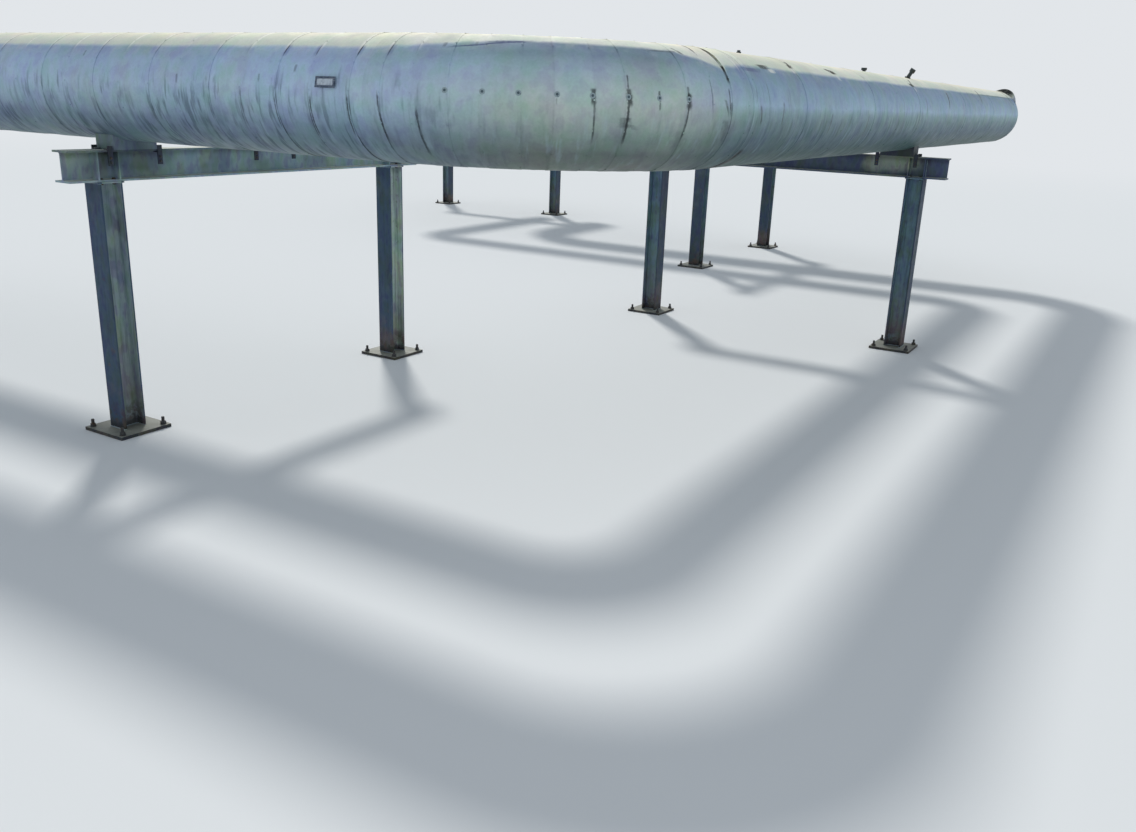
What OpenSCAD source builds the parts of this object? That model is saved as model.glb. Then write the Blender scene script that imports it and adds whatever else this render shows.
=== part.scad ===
// Pipe bridge: a two-pipe expansion loop carried over shallow ground on five
// low steel bents. Both pipes run in at the back left, turn towards the front,
// cross over the end bent and run out again at the back right.
// Units are millimetres, +Z is up, and the base plates stand on Z = 0.
// X runs along the line of the pipes, Y from the end of the loop to that line.

/* [Layout] */
// Distance from the loop's centre line to the outer pipe on each leg
leg_x = 7835; // [6600:5:9500]
// Distance from the end leg to the run at the back, between outer pipe centres
loop_depth = 11640; // [9600:10:14000]
// Distance from the end leg to the bents under the two legs
leg_bent_back = 4671; // [3400:1:5600]
// Distance from the outer pipe on each leg to the bents under the runs
run_bent_out = 2089; // [1900:1:2600]
// Length of jacket past each of those bents
run_overhang = 1051; // [500:1:2500]
// Distance between the two pipes' centres
pipe_gap = 1581; // [1350:1:1800]
// Height of the bents, from the ground to the top of the crossbeams
bent_h = 2485; // [1800:5:3600]

/* [Outer pipe] */
// Radius of the outer pipe's jacket
outer_jacket_r = 435; // [410:1:480]
// Radius of the outer steel pipe
outer_pipe_r = 360; // [300:1:380]
// Bend radius of the outer pipe's elbows
outer_bend_r = 1550; // [1100:5:1640]
// Number of mitre joints in an outer elbow's jacket
outer_joints = 13; // [5:1:17]

/* [Inner pipe] */
// Radius of the inner pipe's jacket
inner_jacket_r = 335; // [310:1:370]
// Radius of the inner steel pipe
inner_pipe_r = 265; // [210:1:280]
// Bend radius of the inner pipe's elbows
inner_bend_r = 800; // [620:5:1200]
// Number of mitre joints in an inner elbow's jacket
inner_joints = 9; // [4:1:13]

/* [Jackets and pipe ends] */
// Longest sheet used along the jackets of the legs and runs
sheet_l = 350; // [300:10:1500]
// Longest sheet used along the jackets of the end leg
end_sheet_l = 1130; // [300:10:1500]
// Length of the make-up sheet at each end of a straight jacket
makeup_l = 130; // [80:5:300]
// Thickness of the sheet, which is the step at every lap
sheet_t = 3; // [1.5:0.5:5]
// Wall of both steel pipes
pipe_wall = 10; // [6:1:16]
// Length of bare steel pipe past each end of the jackets
stub_l = 250; // [150:10:500]
// Play between the insulation and the steel pipe in it
sleeve_play = 0.5; // [0.3:0.1:0.9]
// Gap left for the weld between the pipe inside and each bare end
weld_gap = 3; // [2:0.5:5]

/* [Posts] */
// Distance between the two posts of a bent
post_gap = 3650; // [3300:10:4400]
// Distance from the outer pipe to the post beside it
post_out = 262; // [240:1:420]
// Depth of the posts' H section, along the crossbeam
post_d = 216; // [180:1:280]
// Width of the posts' flanges
post_b = 206; // [160:1:240]
// Thickness of the posts' flanges
post_flange_t = 17; // [8:0.5:22]
// Thickness of the posts' webs
post_web_t = 10; // [6:0.5:16]
// Radius in the corners between the posts' webs and flanges
post_root_r = 18; // [6:1:24]
// Thickness of the cap plates
cap_t = 12; // [8:1:25]
// Margin of the cap plates round the posts
cap_margin = 12; // [5:1:25]

/* [Base plates and anchor bolts] */
// Side of the square base plates
base_w = 520; // [480:5:640]
// Thickness of the base plates
base_t = 30; // [20:1:50]
// Distance between anchor bolts, both ways
bolt_gap = 424; // [380:2:440]
// Radius of the anchor bolts
bolt_r = 15; // [10:0.5:18]
// Height of the anchor bolts above the base plates
bolt_h = 70; // [60:1:120]
// Play of the anchor bolts in their holes
bolt_play = 2; // [1:0.5:4]

/* [Crossbeams] */
// Depth of the crossbeams
beam_d = 260; // [220:1:320]
// Width of the crossbeams' flanges
beam_b = 200; // [180:1:230]
// Thickness of the crossbeams' flanges
beam_flange_t = 16; // [10:0.5:22]
// Thickness of the crossbeams' webs
beam_web_t = 10; // [6:0.5:16]
// Radius in the corners between the crossbeams' webs and flanges
beam_root_r = 18; // [6:1:24]
// Length of crossbeam past the centre of each post
beam_over = 370; // [330:5:600]
// Thickness of the web stiffeners over the posts
stiffener_t = 12; // [8:1:20]

/* [Saddles and clips] */
// Height of the saddles under the pipes
saddle_h = 72; // [55:1:110]
// Width of the saddles across the pipe
saddle_w = 420; // [340:5:440]
// Length of the saddles along the pipe
saddle_l = 240; // [210:5:320]
// Thickness of the saddles' plates
saddle_t = 12; // [8:1:16]
// Distance between the saddles' sides and the hold-down clips
clip_gap = 10; // [4:1:20]
// Width of the clips along the crossbeam
clip_w = 46; // [36:1:60]
// Height of the clips
clip_h = 165; // [120:5:220]
// Height of the clips above the crossbeam
clip_rise = 34; // [24:1:50]
// Thickness of the clips
clip_t = 12; // [8:1:16]

/* [Fittings] */
// Distance of the plug on the outer pipe from the end of the front left elbow
plug_past = 675; // [100:5:1800]
// Distance of the thermometer pocket from the loop's centre line
pocket_x = -2035; // [-3800:5:-800]
// Distance of the air vent from the loop's centre line
vent_x = -510; // [-800:10:3000]
// Angle round the pipe from its crown to the air vent
vent_round = 14; // [0:1:40]
// Lean of the air vent's stem from square to the pipe
vent_lean = 16; // [0:1:30]
// Length of the air vent's stem
vent_l = 75; // [60:1:160]
// Length of the plate on the left leg
plate_l = 180; // [120:2:260]
// Height of the plate on the left leg
plate_h = 74; // [50:2:120]
// Distance of that plate behind the start of the elbow
plate_back = 325; // [200:5:1200]

/* [Hidden] */
$fn = 96;

// Colours
jacket_grey = "#8b97a0";
steel_grey = "#4c555c";
saddle_grey = "#59636a";
bolt_brown = "#5b4a3e";
pipe_black = "#33322f";

// Places across the loop: the box of the whole bridge is centred on Y = 0
half_y = (loop_depth + post_gap + 2 * beam_over) / 2;
end_y = -half_y + beam_over + post_out;
run_y = end_y + loop_depth;
leg_bent_y = end_y + leg_bent_back;
run_bent_x = leg_x + run_bent_out;
run_end_x = run_bent_x + run_overhang;

// Heights
post_h = bent_h - beam_d;
seat_z = bent_h + saddle_h;
seat_play = 0.3;
foot_r = 80;
nut_r = bolt_r * 1.73;
nut_h = bolt_r * 1.6;
nut_fn = 6;

// Each pipe: [offset from the outer pipe, jacket radius, pipe radius, bend radius, joints]
outer = [0, outer_jacket_r, outer_pipe_r, outer_bend_r, outer_joints];
inner = [pipe_gap, inner_jacket_r, inner_pipe_r, inner_bend_r, inner_joints];
function in_by(p) = p[0];
function jacket_r(p) = p[1];
function pipe_r(p) = p[2];
function bend_r(p) = p[3];
function joints(p) = p[4];
function axis_z(p) = seat_z + jacket_r(p);
function leg_at(p) = leg_x - in_by(p);
function end_at(p) = end_y + in_by(p);
function run_at(p) = run_y + in_by(p);
function leg_l(p) = loop_depth - 2 * bend_r(p);
function leg_bent_at(p) = leg_bent_back - in_by(p) - bend_r(p);
function end_l(p) = 2 * (leg_at(p) - bend_r(p));

// Each bent stands with its first post beside the outer pipe and its crossbeam
// pointing inwards: [first post, direction of the crossbeam]
left_bent = [[-leg_x - post_out, leg_bent_y], 0];
right_bent = [[leg_x + post_out, leg_bent_y], 180];
end_bent = [[0, end_y - post_out], 90];
inlet_bent = [[-run_bent_x, run_y - post_out], 90];
outlet_bent = [[run_bent_x, run_y - post_out], 90];
bents = [left_bent, end_bent, right_bent, inlet_bent, outlet_bent];

module at_bent(b) translate([b[0][0], b[0][1], 0]) rotate(b[1]) children();

// An I or H section of depth d along Y and flange width b along X, rolled with
// round corners between web and flanges, standing on its end
module section(d, b, flange_t, web_t, root_r) {
    for (side = [-1, 1])
        translate([-b / 2, side * (d - flange_t) / 2 - flange_t / 2])
            square([b, flange_t]);
    translate([-web_t / 2, -d / 2 + flange_t / 2])
        square([web_t, d - flange_t]);
    for (x = [0, 1], y = [0, 1])
        mirror([x, 0]) mirror([0, y])
            translate([web_t / 2, d / 2 - flange_t])
                difference() {
                    translate([-1, -root_r]) square([root_r + 1, root_r + 1]);
                    translate([root_r, -root_r]) circle(root_r);
                }
}

module plate_at(size, z) translate([-size[0] / 2, -size[1] / 2, z]) cube(size);

module bolt_places()
    for (x = [-1, 1], y = [-1, 1])
        translate([x * bolt_gap / 2, y * bolt_gap / 2, 0]) children();

// One post with its base plate and cap plate, its web in line with the crossbeam
module post() {
    difference() {
        plate_at([base_w, base_w, base_t], 0);
        bolt_places()
            translate([0, 0, -1]) cylinder(r = bolt_r + bolt_play, h = base_t + 2);
    }
    translate([0, 0, base_t])
        linear_extrude(post_h - base_t - cap_t)
            rotate(90) section(post_d, post_b, post_flange_t, post_web_t, post_root_r);
    plate_at([post_d + 2 * cap_margin, post_b + 2 * cap_margin, cap_t], post_h - cap_t);
}

module posts(b)
    color(steel_grey)
        at_bent(b)
            for (x = [0, post_gap]) translate([x, 0, 0]) post();

// A crossbeam with pairs of web stiffeners over the flanges of both posts
module crossbeam(b)
    color(steel_grey)
        at_bent(b) {
            beam_l = post_gap + 2 * beam_over;
            translate([-beam_over, 0, post_h + beam_d / 2])
                rotate([90, 0, 90])
                    linear_extrude(beam_l)
                        section(beam_d, beam_b, beam_flange_t, beam_web_t, beam_root_r);
            for (x = [0, post_gap], side = [-1, 1])
                translate([x + side * (post_d - post_flange_t) / 2, 0, 0])
                    plate_at([stiffener_t, beam_b, beam_d - 2 * beam_flange_t + 2],
                             post_h + beam_flange_t - 1);
        }

// The round seat cut out of a saddle
module seat_round(p, l)
    translate([0, l / 2, axis_z(p)])
        rotate([90, 0, 0]) cylinder(r = jacket_r(p) + seat_play, h = l);

// A saddle: a foot plate, two end plates, two side plates and a rib under a round seat
module saddle(p)
    difference() {
        union() {
            plate_at([saddle_w, saddle_l, saddle_t], bent_h);
            for (side = [-1, 1]) {
                translate([0, side * (saddle_l - saddle_t) / 2, 0])
                    plate_at([saddle_w, saddle_t, saddle_top(p)], bent_h);
                translate([side * (saddle_w - saddle_t) / 2, 0, 0])
                    plate_at([saddle_t, saddle_l, saddle_top(p)], bent_h);
            }
            plate_at([saddle_t, saddle_l, saddle_h], bent_h);
        }
        seat_round(p, saddle_l + 2);
    }

// Height at which a saddle's sides meet the jacket
function saddle_top(p) = saddle_h + jacket_r(p)
    - sqrt(pow(jacket_r(p), 2) - pow(saddle_w / 2, 2)) - 1;

module saddles(b)
    color(saddle_grey)
        at_bent(b)
            for (p = [outer, inner])
                translate([post_out + in_by(p), 0, 0]) saddle(p);

module anchor_bolt() {
    translate([0, 0, 1]) cylinder(r = bolt_r, h = base_t + bolt_h - 1);
    translate([0, 0, base_t]) cylinder(r = nut_r, h = nut_h, $fn = nut_fn);
}

module anchor_bolts()
    color(bolt_brown)
        for (b = bents)
            at_bent(b)
                for (x = [0, post_gap]) translate([x, 0, 0]) bolt_places() anchor_bolt();

// A clip hooked round the edge of the crossbeam's top flange
module clip() {
    reach = (beam_b - beam_web_t) / 4;
    translate([-clip_w / 2, -beam_b / 2 - clip_t, bent_h + clip_rise - clip_h])
        cube([clip_w, clip_t, clip_h]);
    translate([-clip_w / 2, -beam_b / 2 - clip_t, bent_h])
        cube([clip_w, clip_t + reach, clip_t]);
    translate([-clip_w / 2, -beam_b / 2 - clip_t, bent_h - beam_flange_t - clip_t])
        cube([clip_w, clip_t + reach, clip_t]);
}

module holddown_clips()
    color(saddle_grey)
        for (b = bents, p = [outer, inner], along = [-1, 1], face = [0, 180])
            at_bent(b)
                translate([post_out + in_by(p)
                           + along * (saddle_w / 2 + clip_gap + clip_w / 2), 0, 0])
                    rotate(face) clip();

// Each straight stretch: [length, longest sheet, distance of the saddle]
function leg_stretch(p) = [leg_l(p), sheet_l, leg_bent_at(p)];
function end_stretch(p) = [end_l(p), end_sheet_l, end_l(p) / 2];
function run_stretch(p) = [run_end_x - leg_at(p) - bend_r(p), sheet_l, run_overhang];

// A straight jacket is rolled from equal sheets between two make-up sheets, each
// lapped over or under the next. The one over the saddle always laps over, and where
// the saddle is at mid-length the count is odd, so that one sheet is centred on it
function full_count(t) =
    let (n = ceil((t[0] - 2 * makeup_l) / t[1]))
    t[2] == t[0] / 2 && n % 2 == 0 ? n + 1 : n;
function full_sheet(t) = (t[0] - 2 * makeup_l) / full_count(t);
function sheet_start(t, i) =
    i < 1 ? 0 : i > full_count(t) + 1 ? t[0] : makeup_l + (i - 1) * full_sheet(t);
function sheet_at(t, x) =
    max(0, min(full_count(t) + 1, 1 + floor((x - makeup_l) / full_sheet(t))));
function sheet_drop(t, i) = abs(i - sheet_at(t, t[2])) % 2 * sheet_t;
function sheet_profile(p, t) =
    let (bore = pipe_r(p) + sleeve_play)
    concat(
        [[bore, 0]],
        [for (i = [0:full_count(t) + 1], e = [0, 1])
            [jacket_r(p) - sheet_drop(t, i), sheet_start(t, i + e)]],
        [[bore, t[0]]]
    );

// The jacket of a straight stretch from the origin along +X
module straight_jacket(p, t)
    translate([0, 0, axis_z(p)])
        rotate([90, 0, 90])
            rotate_extrude() polygon(sheet_profile(p, t));

// One gore of an elbow: a length of cylinder round +X, cut on a mitre plane at
// each side. The planes stand off by lap, so that each sheet runs over or under
// the next, and from = 0 leaves the half on the +Y side, cut square
module gore(r, bend, turn, lap, from = -1) {
    far = bend + 2 * r;
    side = far * tan(turn / 2) + lap;
    intersection() {
        translate([bend, side, 0]) rotate([90, 0, 0]) cylinder(r = r, h = (1 - from) * side);
        translate([0, 0, -2 * r])
            linear_extrude(4 * r)
                polygon([[0, from * lap], [far, from * side], [far, side], [0, lap]]);
    }
}

// A quarter-turn jacket round the origin, from +X to +Y: a half gore, full gores
// and a half gore, every second one lapped under its neighbours
module elbow_jacket(p) {
    turn = 90 / joints(p);
    lap = sheet_t / 2 / sin(turn);
    translate([0, 0, axis_z(p)])
        difference() {
            union() {
                gore(gore_r(p, 0), bend_r(p), turn, lap, 0);
                for (i = [1:joints(p) - 1])
                    rotate(i * turn) gore(gore_r(p, i), bend_r(p), turn, lap);
                rotate(90) mirror([0, 1, 0])
                    gore(gore_r(p, joints(p)), bend_r(p), turn, lap, 0);
            }
            elbow_round(bend_r(p), pipe_r(p) + sleeve_play, -1, 92);
        }
}

function gore_r(p, i) = jacket_r(p) - (i % 2) * sheet_t;

// A round bend about the origin of angle a, from angle from
module elbow_round(bend, r, from, a)
    rotate(from)
        rotate_extrude(angle = a) translate([bend, 0]) circle(r);

// Jackets of one pipe; side is -1 on the left and 1 on the right
module run_jacket(p, side)
    color(jacket_grey)
        mirror([side > 0 ? 1 : 0, 0, 0])
            translate([-run_end_x, run_at(p), 0])
                straight_jacket(p, run_stretch(p));

module leg_jacket(p, side)
    color(jacket_grey)
        translate([side * leg_at(p), end_at(p) + bend_r(p), 0])
            rotate(90) straight_jacket(p, leg_stretch(p));

module end_jacket(p)
    color(jacket_grey)
        translate([-end_l(p) / 2, end_at(p), 0])
            straight_jacket(p, end_stretch(p));

module front_elbow(p, side)
    color(jacket_grey)
        mirror([side > 0 ? 1 : 0, 0, 0])
            translate([-leg_at(p) + bend_r(p), end_at(p) + bend_r(p), 0])
                rotate(180) elbow_jacket(p);

module back_elbow(p, side)
    color(jacket_grey)
        mirror([side > 0 ? 1 : 0, 0, 0])
            translate([-leg_at(p) - bend_r(p), run_at(p) - bend_r(p), 0])
                elbow_jacket(p);

// A straight length of steel pipe from the origin along +X
module pipe_straight(p, l)
    translate([0, 0, axis_z(p)])
        rotate([0, 90, 0])
            difference() {
                cylinder(r = pipe_r(p), h = l);
                translate([0, 0, -1]) cylinder(r = pipe_r(p) - pipe_wall, h = l + 2);
            }

module pipe_bend(p)
    translate([0, 0, axis_z(p)])
        rotate_extrude(angle = 90)
            translate([bend_r(p), 0])
                difference() {
                    circle(pipe_r(p));
                    circle(pipe_r(p) - pipe_wall);
                }

// The half of the steel pipe inside the jackets, up to the loop's centre line
module carrier_half(p) {
    translate([weld_gap - run_end_x, run_at(p), 0])
        pipe_straight(p, run_end_x - weld_gap - leg_at(p) - bend_r(p));
    translate([-leg_at(p) - bend_r(p), run_at(p) - bend_r(p), 0]) pipe_bend(p);
    translate([-leg_at(p), end_at(p) + bend_r(p), 0])
        rotate(90) pipe_straight(p, leg_l(p));
    translate([-leg_at(p) + bend_r(p), end_at(p) + bend_r(p), 0])
        rotate(180) pipe_bend(p);
    translate([-end_l(p) / 2, end_at(p), 0]) pipe_straight(p, end_l(p) / 2);
}

module carrier_pipe(p)
    color(pipe_black) {
        carrier_half(p);
        mirror([1, 0, 0]) carrier_half(p);
    }

// The bare steel pipe that sticks out of the jacket at the end of a run
module pipe_end(p, side)
    color(pipe_black)
        mirror([side > 0 ? 1 : 0, 0, 0])
            translate([-run_end_x - seat_play - stub_l, run_at(p), 0])
                pipe_straight(p, stub_l);

// Radius of the outer pipe's jacket at distance x along a straight stretch
function outer_r_at(t, x) = outer_jacket_r - sheet_drop(t, sheet_at(t, x));

// The sheets of a straight stretch of the outer pipe from distance a to b along +X,
// with play all round, cut out of whatever seats on them
module sheets_cut(t, a, b)
    for (i = [sheet_at(t, a):sheet_at(t, b)])
        translate([sheet_start(t, i) - seat_play, 0, 0])
            rotate([0, 90, 0])
                cylinder(r = outer_jacket_r - sheet_drop(t, i) + seat_play,
                         h = sheet_start(t, i + 1) - sheet_start(t, i) + 2 * seat_play);

// Stands a fitting on the end leg, on its crown or some way round from it, with its
// foot cut to seat on the jacket
module on_crown(x, round = 0) {
    t = end_stretch(outer);
    at = x + t[0] / 2;
    translate([-t[0] / 2, end_y, axis_z(outer)])
        rotate([round, 0, 0]) difference() {
            translate([at, 0, outer_r_at(t, at)]) children();
            sheets_cut(t, at - foot_r, at + foot_r);
        }
}

module drain_plug()
    color(bolt_brown)
        on_crown(plug_past - end_l(outer) / 2) {
            translate([0, 0, -sheet_t]) cylinder(r = 19, h = 12 + sheet_t);
            cylinder(r = 13, h = 24, $fn = nut_fn);
        }

module thermometer_pocket()
    color(bolt_brown)
        on_crown(pocket_x) {
            translate([0, 0, -sheet_t]) cylinder(r = 18, h = 15 + sheet_t);
            translate([0, 0, 13]) cylinder(r = 30, h = 26);
        }

module air_vent()
    color(bolt_brown)
        on_crown(vent_x, vent_round) {
            translate([0, 0, -sheet_t]) cylinder(r = 34, h = 14 + sheet_t);
            rotate([vent_lean, 0, 0]) {
                cylinder(r = 22, h = vent_l + 10);
                translate([0, 0, vent_l]) cylinder(r = 32, h = 44);
            }
        }

// A bare plate on two stand-offs on the outer side of the left leg
module name_plate() {
    rise = 12;
    off = outer_jacket_r + 10;
    at = plate_back;
    t = leg_stretch(outer);
    color(jacket_grey)
        translate([-leg_x, end_y + outer_bend_r, axis_z(outer)])
            difference() {
                translate([0, at, 0])
                    rotate([0, rise, 0]) {
                        translate([-off - 4, -plate_l / 2, -plate_h / 2])
                            cube([4, plate_l, plate_h]);
                        for (side = [-1, 1])
                            translate([-off - 1, side * (plate_l / 2 - 24), 0])
                                rotate([0, 90, 0]) cylinder(r = 7, h = 24);
                    }
                rotate(90)
                    sheets_cut(t, at - plate_l / 2, at + plate_l / 2);
            }
}

posts(left_bent);  // left_posts
posts(end_bent);  // end_posts
posts(right_bent);  // right_posts
posts(inlet_bent);  // inlet_posts
posts(outlet_bent);  // outlet_posts
crossbeam(left_bent);  // left_beam
crossbeam(end_bent);  // end_beam
crossbeam(right_bent);  // right_beam
crossbeam(inlet_bent);  // inlet_beam
crossbeam(outlet_bent);  // outlet_beam
saddles(left_bent);  // left_saddles
saddles(end_bent);  // end_saddles
saddles(right_bent);  // right_saddles
saddles(inlet_bent);  // inlet_saddles
saddles(outlet_bent);  // outlet_saddles
anchor_bolts();
holddown_clips();
run_jacket(outer, -1);  // outer_inlet_jacket
leg_jacket(outer, -1);  // outer_left_jacket
end_jacket(outer);  // outer_end_jacket
leg_jacket(outer, 1);  // outer_right_jacket
run_jacket(outer, 1);  // outer_outlet_jacket
back_elbow(outer, -1);  // outer_elbow_back_left
front_elbow(outer, -1);  // outer_elbow_front_left
front_elbow(outer, 1);  // outer_elbow_front_right
back_elbow(outer, 1);  // outer_elbow_back_right
run_jacket(inner, -1);  // inner_inlet_jacket
leg_jacket(inner, -1);  // inner_left_jacket
end_jacket(inner);  // inner_end_jacket
leg_jacket(inner, 1);  // inner_right_jacket
run_jacket(inner, 1);  // inner_outlet_jacket
back_elbow(inner, -1);  // inner_elbow_back_left
front_elbow(inner, -1);  // inner_elbow_front_left
front_elbow(inner, 1);  // inner_elbow_front_right
back_elbow(inner, 1);  // inner_elbow_back_right
carrier_pipe(outer);  // outer_carrier_pipe
carrier_pipe(inner);  // inner_carrier_pipe
pipe_end(outer, -1);  // outer_inlet_pipe_end
pipe_end(outer, 1);  // outer_outlet_pipe_end
pipe_end(inner, -1);  // inner_inlet_pipe_end
pipe_end(inner, 1);  // inner_outlet_pipe_end
name_plate();
drain_plug();
thermometer_pocket();
air_vent();
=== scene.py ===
import math
import random
from collections import namedtuple

import bpy
import numpy as np
from mathutils import Matrix, Vector


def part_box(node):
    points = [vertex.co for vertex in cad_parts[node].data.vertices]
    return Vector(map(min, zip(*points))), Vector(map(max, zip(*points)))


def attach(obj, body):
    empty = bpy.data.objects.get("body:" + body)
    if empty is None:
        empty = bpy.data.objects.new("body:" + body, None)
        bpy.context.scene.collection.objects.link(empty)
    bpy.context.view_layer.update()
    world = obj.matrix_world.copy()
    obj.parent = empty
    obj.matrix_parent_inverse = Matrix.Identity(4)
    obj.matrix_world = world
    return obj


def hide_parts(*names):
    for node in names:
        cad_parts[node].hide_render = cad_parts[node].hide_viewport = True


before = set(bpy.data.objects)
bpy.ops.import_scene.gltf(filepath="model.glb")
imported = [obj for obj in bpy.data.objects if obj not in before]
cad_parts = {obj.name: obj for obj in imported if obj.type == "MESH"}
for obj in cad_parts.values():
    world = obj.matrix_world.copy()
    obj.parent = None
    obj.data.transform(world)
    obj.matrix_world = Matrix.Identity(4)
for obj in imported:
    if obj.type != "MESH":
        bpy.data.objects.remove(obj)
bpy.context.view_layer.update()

# Sizes of the bridge in metres, the same as in the part's source

leg_x = 7.835
end_y = -7.383
run_y = 4.257
pipe_gap = 1.581
bent_h = 2.485
saddle_h = 0.072
run_bent_x = 9.924
run_overhang = 1.051
run_end_x = run_bent_x + run_overhang
leg_bent_back = 4.671
leg_bent_y = end_y + leg_bent_back

makeup_l = 0.130
sheet_l = 0.350
end_sheet_l = 1.130
lap_step = 0.0016
sleeve_play = 0.0005

post_gap = 3.650
post_out = 0.262
post_d, post_b, post_flange_t, post_web_t = 0.216, 0.206, 0.017, 0.010
base_t, cap_t = 0.030, 0.012
bolt_gap, bolt_r, bolt_h = 0.424, 0.015, 0.070
beam_d, beam_b, beam_flange_t, beam_web_t = 0.260, 0.200, 0.016, 0.010
stiffener_t = 0.012
post_h = bent_h - beam_d
saddle_w = 0.420
clip_gap, clip_w, clip_t = 0.010, 0.046, 0.012


class Pipe:
    """One of the two lagged pipes: where it lies, its jacket, its bore and its bends."""

    def __init__(self, name, in_by, jacket_r, pipe_r, bend_r, joints, columns, screws):
        self.name, self.in_by, self.jacket_r = name, in_by, jacket_r
        self.bore = pipe_r + sleeve_play
        self.bend_r, self.joints, self.columns, self.screws = bend_r, joints, columns, screws
        self.axis_z = bent_h + saddle_h + jacket_r
        self.leg_at, self.end_at, self.run_at = leg_x - in_by, end_y + in_by, run_y + in_by
        self.leg_l = run_y - end_y - 2 * bend_r
        self.end_l = 2 * (self.leg_at - bend_r)
        self.run_l = run_end_x - self.leg_at - bend_r


outer = Pipe("outer", 0.0, 0.435, 0.360, 1.550, 13, 80, 14)
inner = Pipe("inner", pipe_gap, 0.335, 0.265, 0.800, 9, 60, 11)

# Each bent: first post, and the way its crossbeam points from there
bents = {
    "left": ((-leg_x - post_out, leg_bent_y), 0),
    "end": ((0.0, end_y - post_out), 90),
    "right": ((leg_x + post_out, leg_bent_y), 180),
    "inlet": ((-run_bent_x, run_y - post_out), 90),
    "outlet": ((run_bent_x, run_y - post_out), 90),
}


# Camera: the eye's place in metres, the way it looks in degrees, and its lens

eye = (-13.472, -10.615, 3.040)
heading, pitch, roll = 30.77, 17.712, 2.134
photo_w, focal_px = 1136, 995.2
sensor_w = 36


def place_camera():
    turn, dip, lean = (math.radians(angle) for angle in (heading, pitch, roll))
    ahead = Vector((math.cos(turn) * math.cos(dip), math.sin(turn) * math.cos(dip),
                    -math.sin(dip)))
    level = Vector((math.sin(turn), -math.cos(turn), 0))
    right = level * math.cos(lean) + level.cross(ahead) * math.sin(lean)
    axes = Matrix((right, right.cross(ahead), -ahead)).transposed()
    lens = bpy.data.cameras.new("photo_camera")
    lens.sensor_width = sensor_w
    lens.lens = sensor_w * focal_px / photo_w
    lens.clip_start, lens.clip_end = 0.1, 600
    camera = bpy.data.objects.new("photo_camera", lens)
    camera.matrix_world = Matrix.Translation(eye) @ axes.to_4x4()
    bpy.context.scene.collection.objects.link(camera)
    bpy.context.scene.camera = camera


# Node trees

class Tree:
    """Adds nodes to a node tree; an input is a number, a colour or another node's socket."""

    def __init__(self, tree):
        self.tree = tree

    def feed(self, socket, value):
        if isinstance(value, bpy.types.NodeSocket):
            self.tree.links.new(value, socket)
        elif socket.type == "RGBA":
            socket.default_value = (*value, 1.0)
        else:
            socket.default_value = value

    def add(self, kind, inputs=None, out=0, **settings):
        node = self.tree.nodes.new(kind)
        for key, value in settings.items():
            setattr(node, key, value)
        for key, value in (inputs or {}).items():
            socket = node.inputs[key] if isinstance(key, int) else next(
                s for s in node.inputs if s.enabled and s.name == key)
            self.feed(socket, value)
        return node if out is None else node.outputs[out]

    def sum(self, kind, a, b=0.0, c=0.0, clamp=False):
        return self.add("ShaderNodeMath", {0: a, 1: b, 2: c}, operation=kind, use_clamp=clamp)

    def times(self, *values):
        total = values[0]
        for value in values[1:]:
            total = self.sum("MULTIPLY", total, value)
        return total

    def off(self, value, middle):
        """How far a value lies from the middle, either way."""
        return self.sum("ABSOLUTE", self.sum("SUBTRACT", value, middle))

    def fade(self, value, start, end, low=0.0, high=1.0, smooth=True):
        """low where value is at start, high where it is at end."""
        kind = "SMOOTHSTEP" if smooth else "LINEAR"
        return self.add("ShaderNodeMapRange", {"Value": value, "From Min": start,
                        "From Max": end, "To Min": low, "To Max": high},
                        interpolation_type=kind)

    def mix(self, share, a, b, kind="MIX"):
        node = self.add("ShaderNodeMix", out=None, data_type="RGBA", blend_type=kind)
        sockets = {s.identifier: s for s in node.inputs}
        for key, value in (("Factor_Float", share), ("A_Color", a), ("B_Color", b)):
            self.feed(sockets[key], value)
        return next(s for s in node.outputs if s.identifier == "Result_Color")

    def noise(self, vector, scale, detail=3.0, rough=0.5):
        return self.add("ShaderNodeTexNoise", {"Vector": vector, "Scale": scale,
                        "Detail": detail, "Roughness": rough})

    def ramp(self, share, shades):
        """A run of shades, each at its place from 0 to 1. All stops are put in place before
        any gets its shade, because a stop that moves past another changes places with it."""
        node = self.add("ShaderNodeValToRGB", {"Fac": share}, out=None)
        stops = node.color_ramp.elements
        while len(stops) < len(shades):
            stops.new(0.5)
        for stop, (place, _) in zip(stops, shades):
            stop.position = place
        for stop, (_, shade) in zip(stops, shades):
            stop.color = (*rgb(*shade), 1.0)
        return node.outputs["Color"]

    def attribute(self, name):
        return self.add("ShaderNodeAttribute", out="Fac", attribute_name=name)

    def place(self):
        return self.add("ShaderNodeTexCoord", out="Object")

    def parts(self, vector):
        return self.add("ShaderNodeSeparateXYZ", {"Vector": vector}, out=None).outputs

    def vector(self, x, y, z):
        return self.add("ShaderNodeCombineXYZ", {"X": x, "Y": y, "Z": z})

    def stretch(self, vector, x, y, z):
        return self.add("ShaderNodeVectorMath", {0: vector, 1: (x, y, z)}, operation="MULTIPLY")


# Light and floor

sun_way = Vector((-0.78, -0.775, -1.0))
sun_strength, sun_spread = 2.2, 7
sun_colour = (1.0, 0.975, 0.93)
fill_colour = (0.462, 0.500, 0.545)
backdrop = (0.760, 0.790, 0.820)
floor_colour = (0.77, 0.79, 0.80)
floor_r, floor_sides, floor_z = 260.0, 96, -0.001
fade_from, fade_to = 20.0, 60.0


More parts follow.
